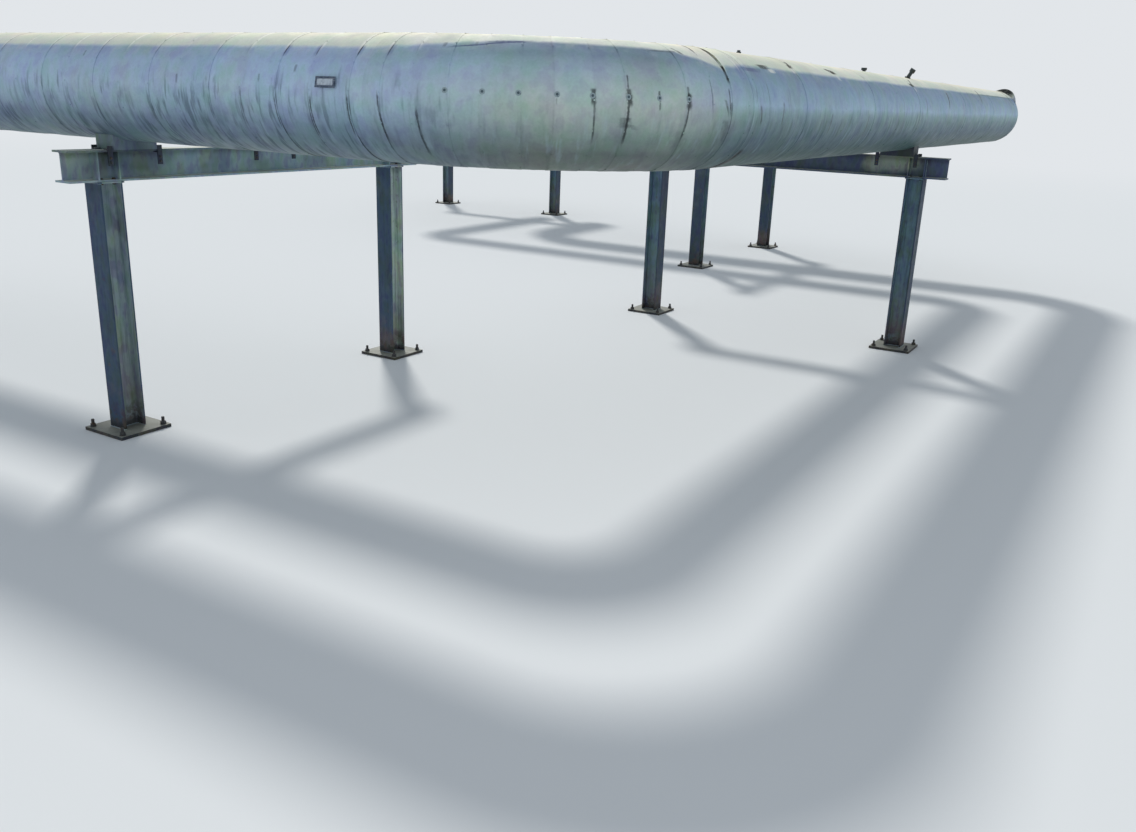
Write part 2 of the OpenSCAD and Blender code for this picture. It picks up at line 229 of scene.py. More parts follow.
def hang_lights():
    """One soft sun and an even fill; the camera and the gloss see the pale backdrop."""
    lamp = bpy.data.lights.new("soft_key", "SUN")
    lamp.energy, lamp.angle, lamp.color = sun_strength, math.radians(sun_spread), sun_colour
    key = bpy.data.objects.new("soft_key", lamp)
    key.rotation_mode = "QUATERNION"
    key.rotation_quaternion = sun_way.to_track_quat("-Z", "Y")
    bpy.context.scene.collection.objects.link(key)

    world = bpy.data.worlds.new("studio")
    world.use_nodes = True
    world.node_tree.nodes.clear()
    t = Tree(world.node_tree)
    rays = t.add("ShaderNodeLightPath", out=None).outputs
    seen = t.sum("MAXIMUM", t.sum("MAXIMUM", rays["Is Camera Ray"], rays["Is Glossy Ray"]),
                 rays["Is Transmission Ray"])
    fill, pale = (t.add("ShaderNodeBackground", {"Color": colour, "Strength": 1.0})
                  for colour in (fill_colour, backdrop))
    t.add("ShaderNodeOutputWorld", {"Surface": t.add(
        "ShaderNodeMixShader", {0: seen, 1: fill, 2: pale})}, out=None)
    bpy.context.scene.world = world


def lay_floor():
    """A round pale floor that fades into the backdrop."""
    turns = (2 * math.pi * i / floor_sides for i in range(floor_sides))
    rim = [(floor_r * math.cos(a), floor_r * math.sin(a), floor_z) for a in turns]
    disc = bpy.data.meshes.new("floor")
    disc.from_pydata(rim, [], [list(range(floor_sides))])
    floor = bpy.data.objects.new("floor", disc)
    bpy.context.scene.collection.objects.link(floor)
    finish = bpy.data.materials.new("pale_floor")
    finish.use_nodes = True
    finish.node_tree.nodes.clear()
    t = Tree(finish.node_tree)
    away = t.add("ShaderNodeVectorMath", {0: t.stretch(t.place(), 1, 1, 0)},
                 out="Value", operation="LENGTH")
    matt = t.add("ShaderNodeBsdfDiffuse", {"Color": floor_colour})
    far = t.add("ShaderNodeEmission", {"Color": backdrop, "Strength": 1.0})
    t.add("ShaderNodeOutputMaterial", {"Surface": t.add(
        "ShaderNodeMixShader", {0: t.fade(away, fade_from, fade_to), 1: matt, 2: far})}, out=None)
    disc.materials.append(finish)


# Finishes

def rgb(red, green, blue):
    """A colour as the eye reads it, 0 to 255, turned into light."""
    return tuple(c / 255 / 12.92 if c <= 10 else ((c / 255 + 0.055) / 1.055) ** 2.4
                 for c in (red, green, blue))


def darker(shade, share):
    return tuple(c * share for c in shade)


# How far the sheets, outside their pale crown, and the paint are drawn towards grey
sheet_grey, paint_grey = 0.40, 0.42
# The dark patch on the steel under the pipes, where no other is given: stain and the pipes'
# painted shade
stain_and_shade_under_pipe = rgb(44, 60, 88)


class Layers(Tree):
    """A tree that builds one colour up, with each layer laid over what is below it."""

    def __init__(self, tree, colour=None):
        super().__init__(tree)
        self.colour = colour

    def lay(self, share, shade):
        self.colour = self.mix(share, self.colour, shade)

    def drift(self, place, amount, hues):
        """Soft patches tinted one way or the other: each size has its pair of tints."""
        for scale, *tints in hues:
            patch = self.noise(place, scale, 2.0, 0.55)
            for start, end, tint in ((0.51, 0.64, tints[0]), (0.49, 0.36, tints[1])):
                share = self.times(self.fade(patch, start, end), amount)
                self.colour = self.mix(share, self.colour, tint, "MULTIPLY")

    def grey(self, share):
        """Draws the colour towards a grey of the same lightness."""
        self.lay(share, self.add("ShaderNodeRGBToBW", {"Color": self.colour}))

    def facing_sun(self, start=0.20, end=0.50):
        """1 on faces turned to the sun, which stands over the loop's back."""
        turned = self.add("ShaderNodeVectorMath", {
            0: self.add("ShaderNodeNewGeometry", out="Normal"), 1: -sun_way.normalized()},
            out="Value", operation="DOT_PRODUCT")
        return self.fade(turned, start, end)


class Coat(Layers):
    """A material of one shader, with its colour laid on in layers."""

    def __init__(self, name, colour=None, **constants):
        self.material = bpy.data.materials.new(name)
        self.material.use_nodes = True
        self.material.node_tree.nodes.clear()
        super().__init__(self.material.node_tree, colour)
        self.shader = self.add("ShaderNodeBsdfPrincipled", out=None)
        for key, value in constants.items():
            self.shader.inputs[key.replace("_", " ")].default_value = value
        self.add("ShaderNodeOutputMaterial", {"Surface": self.shader.outputs[0]}, out=None)

    def finished(self, roughness, height, depth, strength):
        bump = self.add("ShaderNodeBump", {"Height": height, "Distance": depth,
                                           "Strength": strength})
        for key, value in (("Base Color", self.colour), ("Roughness", roughness),
                           ("Normal", bump)):
            self.feed(self.shader.inputs[key], value)
        return self.material


class SheetLook(Layers):
    """The jackets' weathered sheet with painted light, as a group that gives a colour, a
    roughness and a height. Painted light in it: reflection and shade in the shades round the
    pipe, sunlight on the crown and on faces turned to the sun, and shadow and highlight at
    the laps.

    It reads what each point of a sheet carries: round is 0 at the crown and 1 under the
    belly, zone is 0 on a leg, 1 on a front elbow and 2 on the end leg, crown is where the
    pale band on top, painted sunlight and dust, ends, lap is the distance from the nearest
    lap, negative on the sheet on top, and seen is how dark that lap is drawn, for its dirt
    and painted shade."""

    outputs = {"Color": "NodeSocketColor", "Roughness": "NodeSocketFloat",
               "Height": "NodeSocketFloat"}
    # Each run of shades holds painted reflection and shade: palest and bluest a little above the
    # middle, as from the sky, and darker towards the belly, as painted shade.
    leg_shades = (
        (0.24, (138, 177, 214)), (0.33, (151, 194, 236)), (0.46, (163, 203, 238)),
        (0.52, (151, 197, 225)), (0.58, (140, 181, 212)), (0.66, (112, 149, 181)),
        (0.74, (98, 137, 160)), (1.00, (98, 134, 143)))
    bend_shades = (
        (0.15, (104, 139, 169)), (0.21, (124, 164, 191)), (0.33, (162, 197, 215)),
        (0.45, (185, 212, 207)), (0.50, (184, 205, 195)), (0.57, (164, 191, 177)),
        (0.65, (129, 160, 148)), (0.75, (104, 123, 118)), (1.00, (99, 114, 106)))
    end_shades = (
        (0.24, (112, 157, 195)), (0.29, (106, 157, 199)), (0.37, (118, 174, 211)),
        (0.47, (145, 194, 227)), (0.51, (120, 172, 185)), (0.56, (96, 146, 157)),
        (0.65, (66, 114, 135)), (0.78, (50, 100, 100)), (1.00, (46, 94, 92)))
    # violet or green patches in two sizes, and broad ones of blue or buff
    hues = ((8.5, (0.97, 0.88, 1.00), (0.86, 1.00, 0.90)),
            (4.2, (0.97, 0.89, 1.00), (0.85, 1.00, 0.90)),
            (2.3, (0.90, 0.95, 1.00), (1.00, 0.96, 0.86)))

    def __init__(self):
        super().__init__(bpy.data.node_groups.new("weathered_sheet", "ShaderNodeTree"))
        for name, kind in self.outputs.items():
            self.tree.interface.new_socket(name, in_out="OUTPUT", socket_type=kind)
        self.at = self.place()
        self.round, self.lap, self.zone, self.crown, self.seen = (
            self.attribute(name) for name in ("round", "lap", "zone", "crown", "seen"))
        self.broad = self.noise(self.at, 1.3, 4.0, 0.55)
        self.fine = self.noise(self.at, 9.0, 4.0, 0.6)
        self.grit = self.noise(self.at, 60.0, 3.0, 0.6)
        self.patchy = self.fade(self.noise(self.at, 6.0, 3.0), 0.38, 0.58, 0.25, 1.0)

        swing = self.sum("ADD", self.fade(self.broad, 0, 1, -0.022, 0.022, False),
                         self.fade(self.fine, 0, 1, -0.012, 0.012, False))
        self.angle = self.sum("ADD", self.round, swing)
        self.beyond = self.sum("SUBTRACT", self.sum("ADD", self.round, self.times(swing, 0.7)),
                               self.crown)
        self.low = self.fade(self.angle, 0.40, 0.72)
        # The pale band on the crown: painted sunlight and dust.
        self.band = self.fade(self.beyond, 0.016, -0.022)
        self.sunny = self.facing_sun()
        self.past_leg = self.sum("MINIMUM", self.zone, 1.0)
        self.past_elbow = self.sum("SUBTRACT", self.zone, 1.0, clamp=True)
        self.on_elbow = self.sum("SUBTRACT", 1.0, self.off(self.zone, 1.0), clamp=True)

        self.colour_side()
        self.colour_crown()
        pale = self.sum("MAXIMUM", self.sunny, self.band)
        self.drift(self.at, self.sum("MULTIPLY_ADD", pale, -0.65, 0.90), self.hues)
        self.grey(self.sum("MULTIPLY_ADD", self.band, -sheet_grey, sheet_grey))
        dirty = self.dirt_in_runs()
        self.lap_dirt_shade_and_glint()
        self.give(dirty)

    def colour_side(self):
        """Shades from the crown down to the belly, with painted reflection and shade, and faces
        turned to the sun painted pale as painted sunlight.
        """
        leg, bend, end = (self.ramp(self.angle, shades) for shades in (
            self.leg_shades, self.bend_shades, self.end_shades))
        self.colour = self.mix(self.past_elbow, self.mix(self.past_leg, leg, bend), end)
        # Painted sunlight: faces turned to the sun are pale.
        self.lay(self.sunny, self.mix(self.fade(self.broad, 0.36, 0.66), rgb(202, 206, 200),
                                      rgb(186, 195, 194)))

    def colour_crown(self):
        """The pale band on the crown, painted sunlight with dust, with a soft ragged edge where
        the painted sunlight ends.
        """
        ridge = self.mix(self.past_leg, rgb(230, 226, 206), rgb(242, 238, 218))
        brow = self.mix(self.past_leg, rgb(210, 216, 205), rgb(226, 231, 218))
        pale = self.mix(self.fade(self.beyond, -0.16, -0.03), ridge, brow)
        blotch = self.times(self.fade(self.broad, 0.48, 0.64), 0.35)
        self.lay(self.band, self.mix(blotch, pale, rgb(186, 198, 182)))
        dust = self.times(self.fade(self.beyond, 0.10, 0.0), self.fade(self.fine, 0.46, 0.66),
                          0.25)
        self.lay(dust, rgb(206, 214, 208))

    def streaks(self, per_metre, slow, seed):
        """Noise drawn out round the pipe, so many streaks to a metre along it."""
        turn = self.times(self.round, math.pi)
        return self.noise(self.vector(
            self.sum("MULTIPLY_ADD", self.attribute("along"), per_metre, seed),
            self.times(self.sum("COSINE", turn), slow),
            self.times(self.sum("SINE", turn), slow)), 1.0, 2.0, 0.55)

    def dirt_in_runs(self):
        """Runs down the side: short thin ones packed close and a few broad ones. They are
        strongest on the legs. Returns how dirty the sheet is."""
        leggy = self.sum("MAXIMUM", self.fade(self.zone, 0.0, 0.8, 1.0, 0.28, False),
                         self.fade(self.zone, 1.2, 2.0, 0.28, 0.50, False))
        patches = self.fade(self.noise(self.at, 1.9, 2.0, 0.5), 0.36, 0.60, 0.45, 1.0)
        starts = self.sum("ADD", self.angle, self.fade(
            self.streaks(30.0, 0.6, 12.0), 0.30, 0.70, -0.07, 0.07, False))
        thin = self.times(self.fade(self.streaks(24.0, 1.8, 0.0), 0.49, 0.66),
                          self.fade(starts, 0.38, 0.54))
        wide = self.times(self.fade(self.streaks(8.0, 1.5, 31.0), 0.50, 0.70), self.low)
        dirty = self.times(self.sum("MAXIMUM", thin, wide), leggy, patches)
        self.lay(self.times(dirty, 0.46), rgb(46, 62, 76))
        rinsed = self.times(
            self.fade(self.streaks(22.0, 1.8, 77.0), 0.55, 0.72),
            self.fade(self.angle, 0.30, 0.52), self.fade(self.angle, 0.98, 0.70), 0.20)
        self.lay(rinsed, rgb(170, 196, 208))
        return dirty

    def lap_dirt_shade_and_glint(self):
        """Dark lines along the laps: dirt low on the side, and painted shadow of the laps' edges
        in short notches under the crown, with a blue tick there too. On the crown the edge of the
        sheet on top is brighter, a painted highlight."""
        not_belly = self.fade(self.angle, 0.72, 0.60)
        upper = self.sum("MULTIPLY_ADD", self.on_elbow,
                         self.sum("SUBTRACT", not_belly, 1.0), 1.0)
        held = self.times(self.fade(self.lap, 0.013, 0.002), self.fade(self.lap, -0.0045, 0.0),
                          upper)
        notch = self.times(self.fade(self.beyond, -0.03, 0.0),
                           self.fade(self.beyond, 0.075, 0.03))
        # The dark line is dirt low on the side and painted shadow in the notches under the crown.
        where = self.times(
            self.sum("MAXIMUM", self.fade(self.angle, 0.42, 0.62, 0.05, 1.0), notch),
            self.fade(self.beyond, -0.05, 0.0, 0.03, 1.0))
        # Painted shadow: a blue tick at each lap just under the crown, on the legs.
        tick = self.times(self.fade(self.off(self.lap, 0.012), 0.030, 0.008), notch,
                          self.sum("SUBTRACT", 1.0, self.on_elbow), self.patchy, self.seen)
        self.lay(self.times(tick, 0.50), rgb(66, 84, 140))
        self.lay(self.times(held, where, self.seen, self.patchy, 0.92), rgb(30, 40, 48))
        # Painted highlight: the edge of the sheet on top, bright on the crown.
        lip = self.times(self.fade(self.lap, -0.026, -0.010),
                         self.fade(self.lap, 0.0004, -0.0004), self.patchy)
        lit = self.times(self.fade(self.beyond, 0.05, -0.05),
                         self.sum("MULTIPLY_ADD", self.on_elbow, -0.7, 1.0))
        self.lay(self.times(lip, lit, 0.70), rgb(246, 246, 238))
        stain = self.times(self.fade(self.lap, 0.070, 0.010), self.fade(self.lap, -0.0010, 0.0),
                           self.low, self.patchy, self.seen)
        self.lay(self.times(stain, 0.40), rgb(52, 64, 72))

    def give(self, dirty):
        """The group's outputs. Each sheet is a little lighter or darker than the next, and
        dusty and dirty places are rougher."""
        level = self.times(self.sum("MULTIPLY_ADD", self.attribute("tone"), 0.032, 1.0),
                           self.fade(self.grit, 0.30, 0.70, 0.95, 1.05, False),
                           self.fade(self.broad, 0.25, 0.75, 0.94, 1.06, False))
        colour = self.add("ShaderNodeVectorMath", {0: self.colour, "Scale": level},
                          operation="SCALE")
        dull = self.sum("MAXIMUM", self.times(dirty, 0.6),
                        self.sum("MAXIMUM", self.band, self.fade(self.angle, 0.30, 0.20)))
        rough = self.sum("MULTIPLY_ADD", dull, 0.32,
                         self.fade(self.fine, 0.3, 0.7, 0.42, 0.56, False))
        ripple = self.times(self.noise(self.at, 2.6, 2.0, 0.4), 3.2)
        height = self.sum("ADD", ripple, self.sum(
            "ADD", self.times(self.fine, 0.35), self.times(self.grit, 0.10)))
        self.add("NodeGroupOutput", {0: colour, 1: rough, 2: height}, out=None)


def mark_group():
    """A soft patch on the jacket: 1 inside a given place along and round the sheet."""
    group = bpy.data.node_groups.new("mark", "ShaderNodeTree")
    for name in ("Along", "Half length", "From angle", "To angle", "Lean"):
        group.interface.new_socket(name, in_out="INPUT", socket_type="NodeSocketFloat")
    group.interface.new_socket("Share", in_out="OUTPUT", socket_type="NodeSocketFloat")
    t = Tree(group)
    given = t.add("NodeGroupInput", out=None).outputs
    degrees = t.times(t.attribute("side"), 180.0)
    ragged = t.noise(t.place(), 34.0, 3.0, 0.6)
    broken = t.noise(t.place(), 16.0, 2.0, 0.5)
    down = t.sum("DIVIDE", t.sum("SUBTRACT", degrees, given["From angle"]),
                 t.sum("SUBTRACT", given["To angle"], given["From angle"]))
    middle = t.sum("MULTIPLY_ADD", down, given["Lean"], given["Along"])
    half = t.times(given["Half length"], t.fade(ragged, 0.3, 0.7, 0.65, 1.35, False))
    off = t.sum("DIVIDE", t.off(t.attribute("along"), middle), half)
    t.add("NodeGroupOutput", {0: t.times(
        t.fade(off, 1.35, 0.35), t.fade(broken, 0.34, 0.50, 0.68, 1.0),
        t.fade(down, -0.05, 0.10), t.fade(down, 1.05, 0.70))}, out=None)
    return group


class JacketFinishes:
    """The common sheet, weathered and with painted light, plain or with marks at their places."""

    def __init__(self):
        self.sheet, self.mark = SheetLook().tree, mark_group()
        self.plain = self.marked("jacket_plain")

    def marked(self, name, marks=()):
        coat = Coat(name, Metallic=0.16, Specular_IOR_Level=0.26)
        sheet = coat.add("ShaderNodeGroup", out=None, node_tree=self.sheet).outputs
        coat.colour = sheet["Color"]
        for along, half, start, end, lean, strength, shade in marks:
            share = coat.add("ShaderNodeGroup", {
                "Along": along, "Half length": half, "From angle": start, "To angle": end,
                "Lean": lean}, node_tree=self.mark)
            coat.lay(coat.times(share, strength), shade)
        return coat.finished(sheet["Roughness"], sheet["Height"], 0.010, 0.35)


class OldPaint(Coat):
    """Old paint on the bents' steel, of one shade on the flanges and another between them, the
    two shades painted light, lit and shaded copies of one paint for how those faces are lit.
    way is the axis, x or y, along which the pattern of posts and pipes is laid out."""

    hues = ((15.0, (0.92, 0.70, 1.00), (0.78, 1.00, 0.72)),
            (5.5, (0.76, 0.86, 1.00), (1.00, 0.94, 0.62)))
    # how far out the outer pipe crosses a bent, on each axis
    crossings = {"x": (leg_x, run_y), "y": (-end_y, run_y)}

    def __init__(self, name, face, recess, way):
        super().__init__(name, Metallic=0.05, Specular_IOR_Level=0.35)
        self.face, self.way = face, way
        self.at = self.place()
        self.x, y, self.z = self.parts(self.at)
        self.up = self.parts(self.add("ShaderNodeNewGeometry", out="Normal"))[2]
        self.broad = self.noise(self.at, 2.2, 4.0, 0.6)
        self.fine = self.noise(self.at, 14.0, 4.0, 0.62)
        self.patch = self.noise(self.at, 3.1, 3.0, 0.5)
        self.line = self.sum("ABSOLUTE", self.x if way == "x" else y)
        self.first = leg_x + post_out if way == "x" else post_out - end_y
        from_post = self.sum("MINIMUM", self.off(self.line, self.first),
                             self.off(self.line, self.first - post_gap))
        flange = post_d / 2 - post_flange_t
        self.web = self.fade(from_post, flange + 0.0025, flange + 0.0005)
        # Painted light: the faces between the flanges are lit differently from the flanges.
        self.colour = self.mix(self.web, face, recess)

    def weather(self, drips):
        """Dark drips, and patches that have faded or gone bluer."""
        drip = self.noise(self.stretch(self.at, 34.0, 34.0, 1.6), 1.0, 3.0, 0.6)
        self.lay(self.times(self.fade(drip, 0.46, 0.66), drips), darker(self.face, 0.52))
        faded = self.times(self.fade(self.broad, 0.52, 0.70),
                           self.sum("MULTIPLY_ADD", self.web, 0.20, 0.12))
        self.lay(faded, rgb(128, 146, 150))
        self.lay(self.times(self.fade(self.patch, 0.50, 0.66), 0.35), rgb(52, 62, 108))

    def stain_and_shade_under_pipes(self, shade, strength, reach, rinsed=0.0):
        """Dark patches below the pipes, stain and the pipes' painted shade; the lower web rinsed
        pale; and painted shade under the flange, which on saddles and clips covers every face
        not turned up.
        """
        below = self.sum("MINIMUM", *(self.off(self.line, at) for at in self.crossings[self.way]))
        below = self.sum("ADD", below, self.fade(self.patch, 0.2, 0.8, -0.16, 0.16, False))
        height = self.sum("ADD", self.z, self.fade(self.patch, 0.2, 0.8, -0.12, 0.12, False))
        # Stain and painted shade below the pipe.
        stain = self.times(self.fade(below, reach, reach - 0.20),
                           self.fade(height, bent_h - 0.26, bent_h - 0.14),
                           self.fade(self.line, self.first + 0.09, self.first - 0.02))
        self.lay(self.times(stain, strength), shade)
        if rinsed:
            pale = self.times(self.fade(self.z, bent_h - 0.15, bent_h - 0.25),
                              self.fade(self.patch, 0.3, 0.6, 0.6, 1.0))
            self.lay(self.times(pale, rinsed), rgb(156, 194, 212))
        shaded = self.times(self.fade(self.z, bent_h - 0.085, bent_h - beam_flange_t),
                            self.fade(self.up, 0.3, 0.0))
        self.lay(self.times(shaded, 0.45), rgb(30, 40, 52))

    def chip(self, rust):
        chips = self.times(self.fade(self.fine, 0.60, 0.66), self.fade(self.broad, 0.42, 0.60))
        self.lay(self.times(chips, 0.45 * rust), rgb(104, 84, 66))

    def rust_at_foot(self):
        """From the top down: grey bloom, brown patches, scale, a dark line and a pale crust."""
        edge = self.sum("ADD", self.z, self.fade(self.fine, 0.2, 0.8, -0.10, 0.10, False))
        self.lay(self.times(self.fade(edge, 1.20, 0.30), self.web, 0.40), rgb(122, 116, 106))
        brown = self.times(self.fade(edge, 0.55, 0.18), self.fade(self.broad, 0.40, 0.56))
        self.lay(self.times(brown, 0.55), rgb(118, 86, 68))
        scale = self.times(self.fade(edge, 0.36, 0.12), self.fade(self.fine, 0.46, 0.56))
        self.lay(self.times(scale, 0.65), rgb(94, 64, 50))
        self.lay(self.times(self.fade(edge, 0.11, 0.05), 0.80), rgb(38, 40, 42))
        crust = self.times(self.fade(self.z, 0.05, 0.02), self.fade(self.fine, 0.40, 0.60))
        self.lay(self.times(crust, 0.55), rgb(96, 90, 76))

    def aged(self, dust):
        """The paint drifted and greyed, painted paler on faces turned to the sun as painted
        sunlight, with dust on top.
        """
        self.drift(self.stretch(self.at, 1.0, 1.0, 0.45), 0.90, self.hues)
        self.grey(paint_grey)
        # Painted sunlight: faces turned to the sun are lighter and greyer.
        light = self.add("ShaderNodeHueSaturation", {
            "Hue": 0.5, "Saturation": 0.45, "Value": 1.15, "Fac": 1.0, "Color": self.colour})
        self.lay(self.times(self.facing_sun(0.15, 0.45), 0.85), light)
        top = self.times(self.fade(self.up, 0.55, 0.85),
                         self.fade(self.fine, 0.20, 0.50, 0.55, 1.0))
        self.lay(self.times(top, dust), rgb(196, 200, 186))
        height = self.sum("ADD", self.times(self.fine, 0.8),
                          self.times(self.noise(self.at, 70.0, 3.0, 0.6), 0.35))
        return self.finished(self.fade(self.fine, 0.3, 0.7, 0.50, 0.74, False), height,
                             0.0025, 0.45)


def post_paint(name, face, recess, way, lit_inner_recess=None):
    """A pair of posts, rusted towards the foot; the inner post's recess may be painted lighter
    still, as painted light.
    """
    paint = OldPaint(name, face, recess, way)
    if lit_inner_recess:
        past_middle = paint.fade(paint.x, -6.5, -6.0)
        paint.lay(paint.times(paint.web, past_middle), lit_inner_recess)
    paint.weather(drips=0.35)
    paint.chip(1.0)
    paint.rust_at_foot()
    return paint.aged(dust=0.35)


def beam_paint(name, face, recess, way, rust, stub=None, under=stain_and_shade_under_pipe, strength=0.55,
               reach=0.45, rinsed=0.0):
    """A crossbeam, stained and painted shaded below the pipes; its stub past the post may have
    its own shade.
    """
    paint = OldPaint(name, face, recess, way)
    if stub:
        past_post = paint.sum("SUBTRACT", paint.line, paint.first)
        paint.lay(paint.fade(past_post, 0.09, 0.12), stub)
    paint.weather(drips=0.10)
    paint.stain_and_shade_under_pipes(under, strength, reach, rinsed)
    paint.chip(rust)
    return paint.aged(dust=0.85)


def fitting_paint(name, shade, rust):
    """Saddles and clips, of one shade all over."""
    paint = OldPaint(name, shade, shade, "y")
    paint.weather(drips=0.10)
    paint.stain_and_shade_under_pipes(stain_and_shade_under_pipe, 0.55, 0.45)
    paint.chip(rust)
    return paint.aged(dust=0.5)


def rusty_steel(name, base, rust, share):
    """Bare fittings and bolts: dark steel under brown rust."""
    coat = Coat(name, base, Metallic=0.25)
    place = coat.place()
    fine = coat.noise(place, 30.0, 4.0, 0.62)
    broad = coat.noise(place, 6.0, 3.0, 0.55)
    mask = coat.fade(coat.sum("ADD", coat.times(fine, 0.6), coat.times(broad, 0.4)),
                     0.62 - share * 0.3, 0.72 - share * 0.3)
    coat.lay(mask, rust)
    coat.lay(coat.times(coat.fade(fine, 0.55, 0.72), 0.5), darker(rust, 0.45))
    return coat.finished(coat.fade(mask, 0.0, 1.0, 0.48, 0.85, False), fine, 0.0015, 0.5)


def black_pipe(name):
    """Black primer on the steel pipe, chipped and browned."""
    coat = Coat(name, rgb(58, 58, 57), Metallic=0.1)
    place = coat.place()
    fine = coat.noise(place, 22.0, 4.0, 0.62)
    broad = coat.noise(place, 4.0, 3.0, 0.55)
    coat.lay(coat.times(coat.fade(broad, 0.45, 0.62), 0.6), rgb(86, 78, 70))
    coat.lay(coat.times(coat.fade(fine, 0.58, 0.66), 0.7), rgb(112, 74, 52))
    return coat.finished(coat.fade(fine, 0.3, 0.7, 0.45, 0.70, False), fine, 0.0015, 0.4)


def bare_plate(name):
    """The bare plate: a dulled panel inside a dark frame, with faint scratches."""
    coat = Coat(name, rgb(52, 66, 88), Metallic=0.35)
    place = coat.place()
    low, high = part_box("name_plate")
    middle, half = (low + high) / 2, (high - low) / 2
    x, y, z = coat.parts(place)
    fine = coat.noise(place, 40.0, 4.0, 0.6)
    wander = coat.fade(fine, 0.2, 0.8, -0.05, 0.05, False)
    off_y = coat.sum("ADD", coat.times(coat.off(y, middle.y), 1 / half.y), wander)
    off_z = coat.sum("ADD", coat.times(coat.off(z, middle.z), 1 / half.z), wander)
    scratch = coat.noise(coat.stretch(place, 30.0, 6.0, 220.0), 1.0, 2.0, 0.5)
    panel = coat.times(coat.fade(off_y, 0.84, 0.76), coat.fade(off_z, 0.62, 0.50))
    coat.lay(panel, rgb(176, 188, 200))
    coat.lay(coat.times(coat.fade(fine, 0.45, 0.62), 0.45), rgb(108, 122, 140))
    coat.lay(coat.times(coat.fade(scratch, 0.58, 0.68), 0.35), rgb(206, 210, 212))
    return coat.finished(coat.fade(scratch, 0.4, 0.6, 0.35, 0.5, False), fine, 0.0008, 0.3)


def post_paints():
    # Each bent's posts get their own shades, lit and shaded copies of one paint: painted light.
    navy = rgb(38, 74, 104)
    return {
        "left": post_paint("left_post_paint", rgb(38, 85, 120), rgb(142, 176, 182), "x",
                           lit_inner_recess=rgb(184, 216, 206)),
        "right": post_paint("right_post_paint", navy, rgb(100, 146, 166), "x"),
        "end": post_paint("end_post_paint", navy, rgb(82, 140, 164), "y")}


def beam_paints():
    # Each bent's beam gets its own shades, lit and shaded copies of one paint: the end beam
    # darker, as painted shade, and the pale green under its pipes painted light thrown up from
    # below.
    return {
        "left": beam_paint("left_beam_paint", rgb(128, 176, 190), rgb(124, 158, 186), "x", 0.4,
                           stub=rgb(140, 172, 165), rinsed=0.45),
        "right": beam_paint("right_beam_paint", rgb(122, 166, 178), rgb(116, 150, 172), "x",
                            0.4, rinsed=0.45),
        "end": beam_paint("end_beam_paint", rgb(64, 90, 124), rgb(84, 108, 126), "y", 0.5,
                          stub=rgb(76, 100, 140), under=rgb(150, 172, 148), strength=0.80,
                          reach=0.50),
        "run": beam_paint("run_beam_paint", rgb(107, 140, 152), rgb(96, 126, 148), "y", 0.5)}


def saddle_paints():
    # Each bent's saddles get their own shade, lit and shaded copies of one paint; the end saddles
    # are darkest, as painted shade.
    shades = {"left": rgb(124, 165, 186), "right": rgb(98, 132, 150), "end": rgb(66, 90, 106),
              "run": rgb(92, 124, 142)}
    return {bent: fitting_paint(f"{bent}_saddle_paint", shade, 0.3)
            for bent, shade in shades.items()}


def dress_steel():
    """Better finishes for the CAD nodes that stay as they are. Returns the paint of the
    welds and the steel of the bolts."""
    posts, beams, saddles, finishes = post_paints(), beam_paints(), saddle_paints(), {}
    for bent in bents:
        run = bent in ("inlet", "outlet")
        finishes[f"{bent}_posts"] = posts["end" if run else bent]
        finishes[f"{bent}_beam"] = beams["run" if run else bent]
        finishes[f"{bent}_saddles"] = saddles["run" if run else bent]
    finishes["holddown_clips"] = fitting_paint("clip_paint", rgb(50, 66, 92), 0.5)
    finishes["name_plate"] = bare_plate("bare_plate")
    crown = rusty_steel("crown_fitting", rgb(50, 60, 62), rgb(74, 68, 58), 0.3)
    for name in ("drain_plug", "thermometer_pocket", "air_vent"):
        finishes[name] = crown
    primer = black_pipe("pipe_primer")
    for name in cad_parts:
        if "pipe" in name:
            finishes[name] = primer
    for name, finish in finishes.items():
        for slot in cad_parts[name].material_slots:
            slot.material = finish
    return beams["right"], rusty_steel("bolt_steel", rgb(60, 62, 64), rgb(86, 72, 60), 0.35)


# Jackets: sheets rolled round the pipe, each lapped over or under the next

# How far a lip reaches over the next sheet, where that sheet starts under it, and the gap
lip_l, root_l, lip_gap = 0.014, 0.001, 0.0003
# How unevenly a lip stands off, how far at most, and its share of that where it is drawn tight
lip_play, lip_most, tight_lip = 0.00030, 0.0009, 0.3
# How far the middle of a sheet waves in and out
sheet_wave = 0.0006
# How far from its edge a sheet starts to lift to its lip, and the most of its length for that
knee_l, knee_share = 0.05, 0.35
# Points round a piece that has a sprung lap
fine_columns = 120
# The angle of a joint's first screw, and how far the screws sit from the edge under the lip
first_screw, screw_inset = 0.13, lip_l * 0.55
# The plugs: degrees down from the crown, distance from the edge, and the gores that have one
plug_turn, plug_inset = 81.0, 0.004
plugged_gores = range(2, 10)
# How deep a second point is taken to find the way out of a sheet
probe_l = 0.05
# What the distance from a lap reads where none is near: in the bore, at a piece's ends and
# in the middle of a sheet
bore_lap, end_lap, mid_lap = 0.5, 0.2, 0.1

# What the sheet's look reads at each point of a jacket
worn_as = ("round", "side", "along", "lap", "tone", "seen", "zone", "crown")

# Where a stretch lies: out points away from the bend's centre, and way along the pipe
Axes = namedtuple("Axes", "corner out way bend_r side")


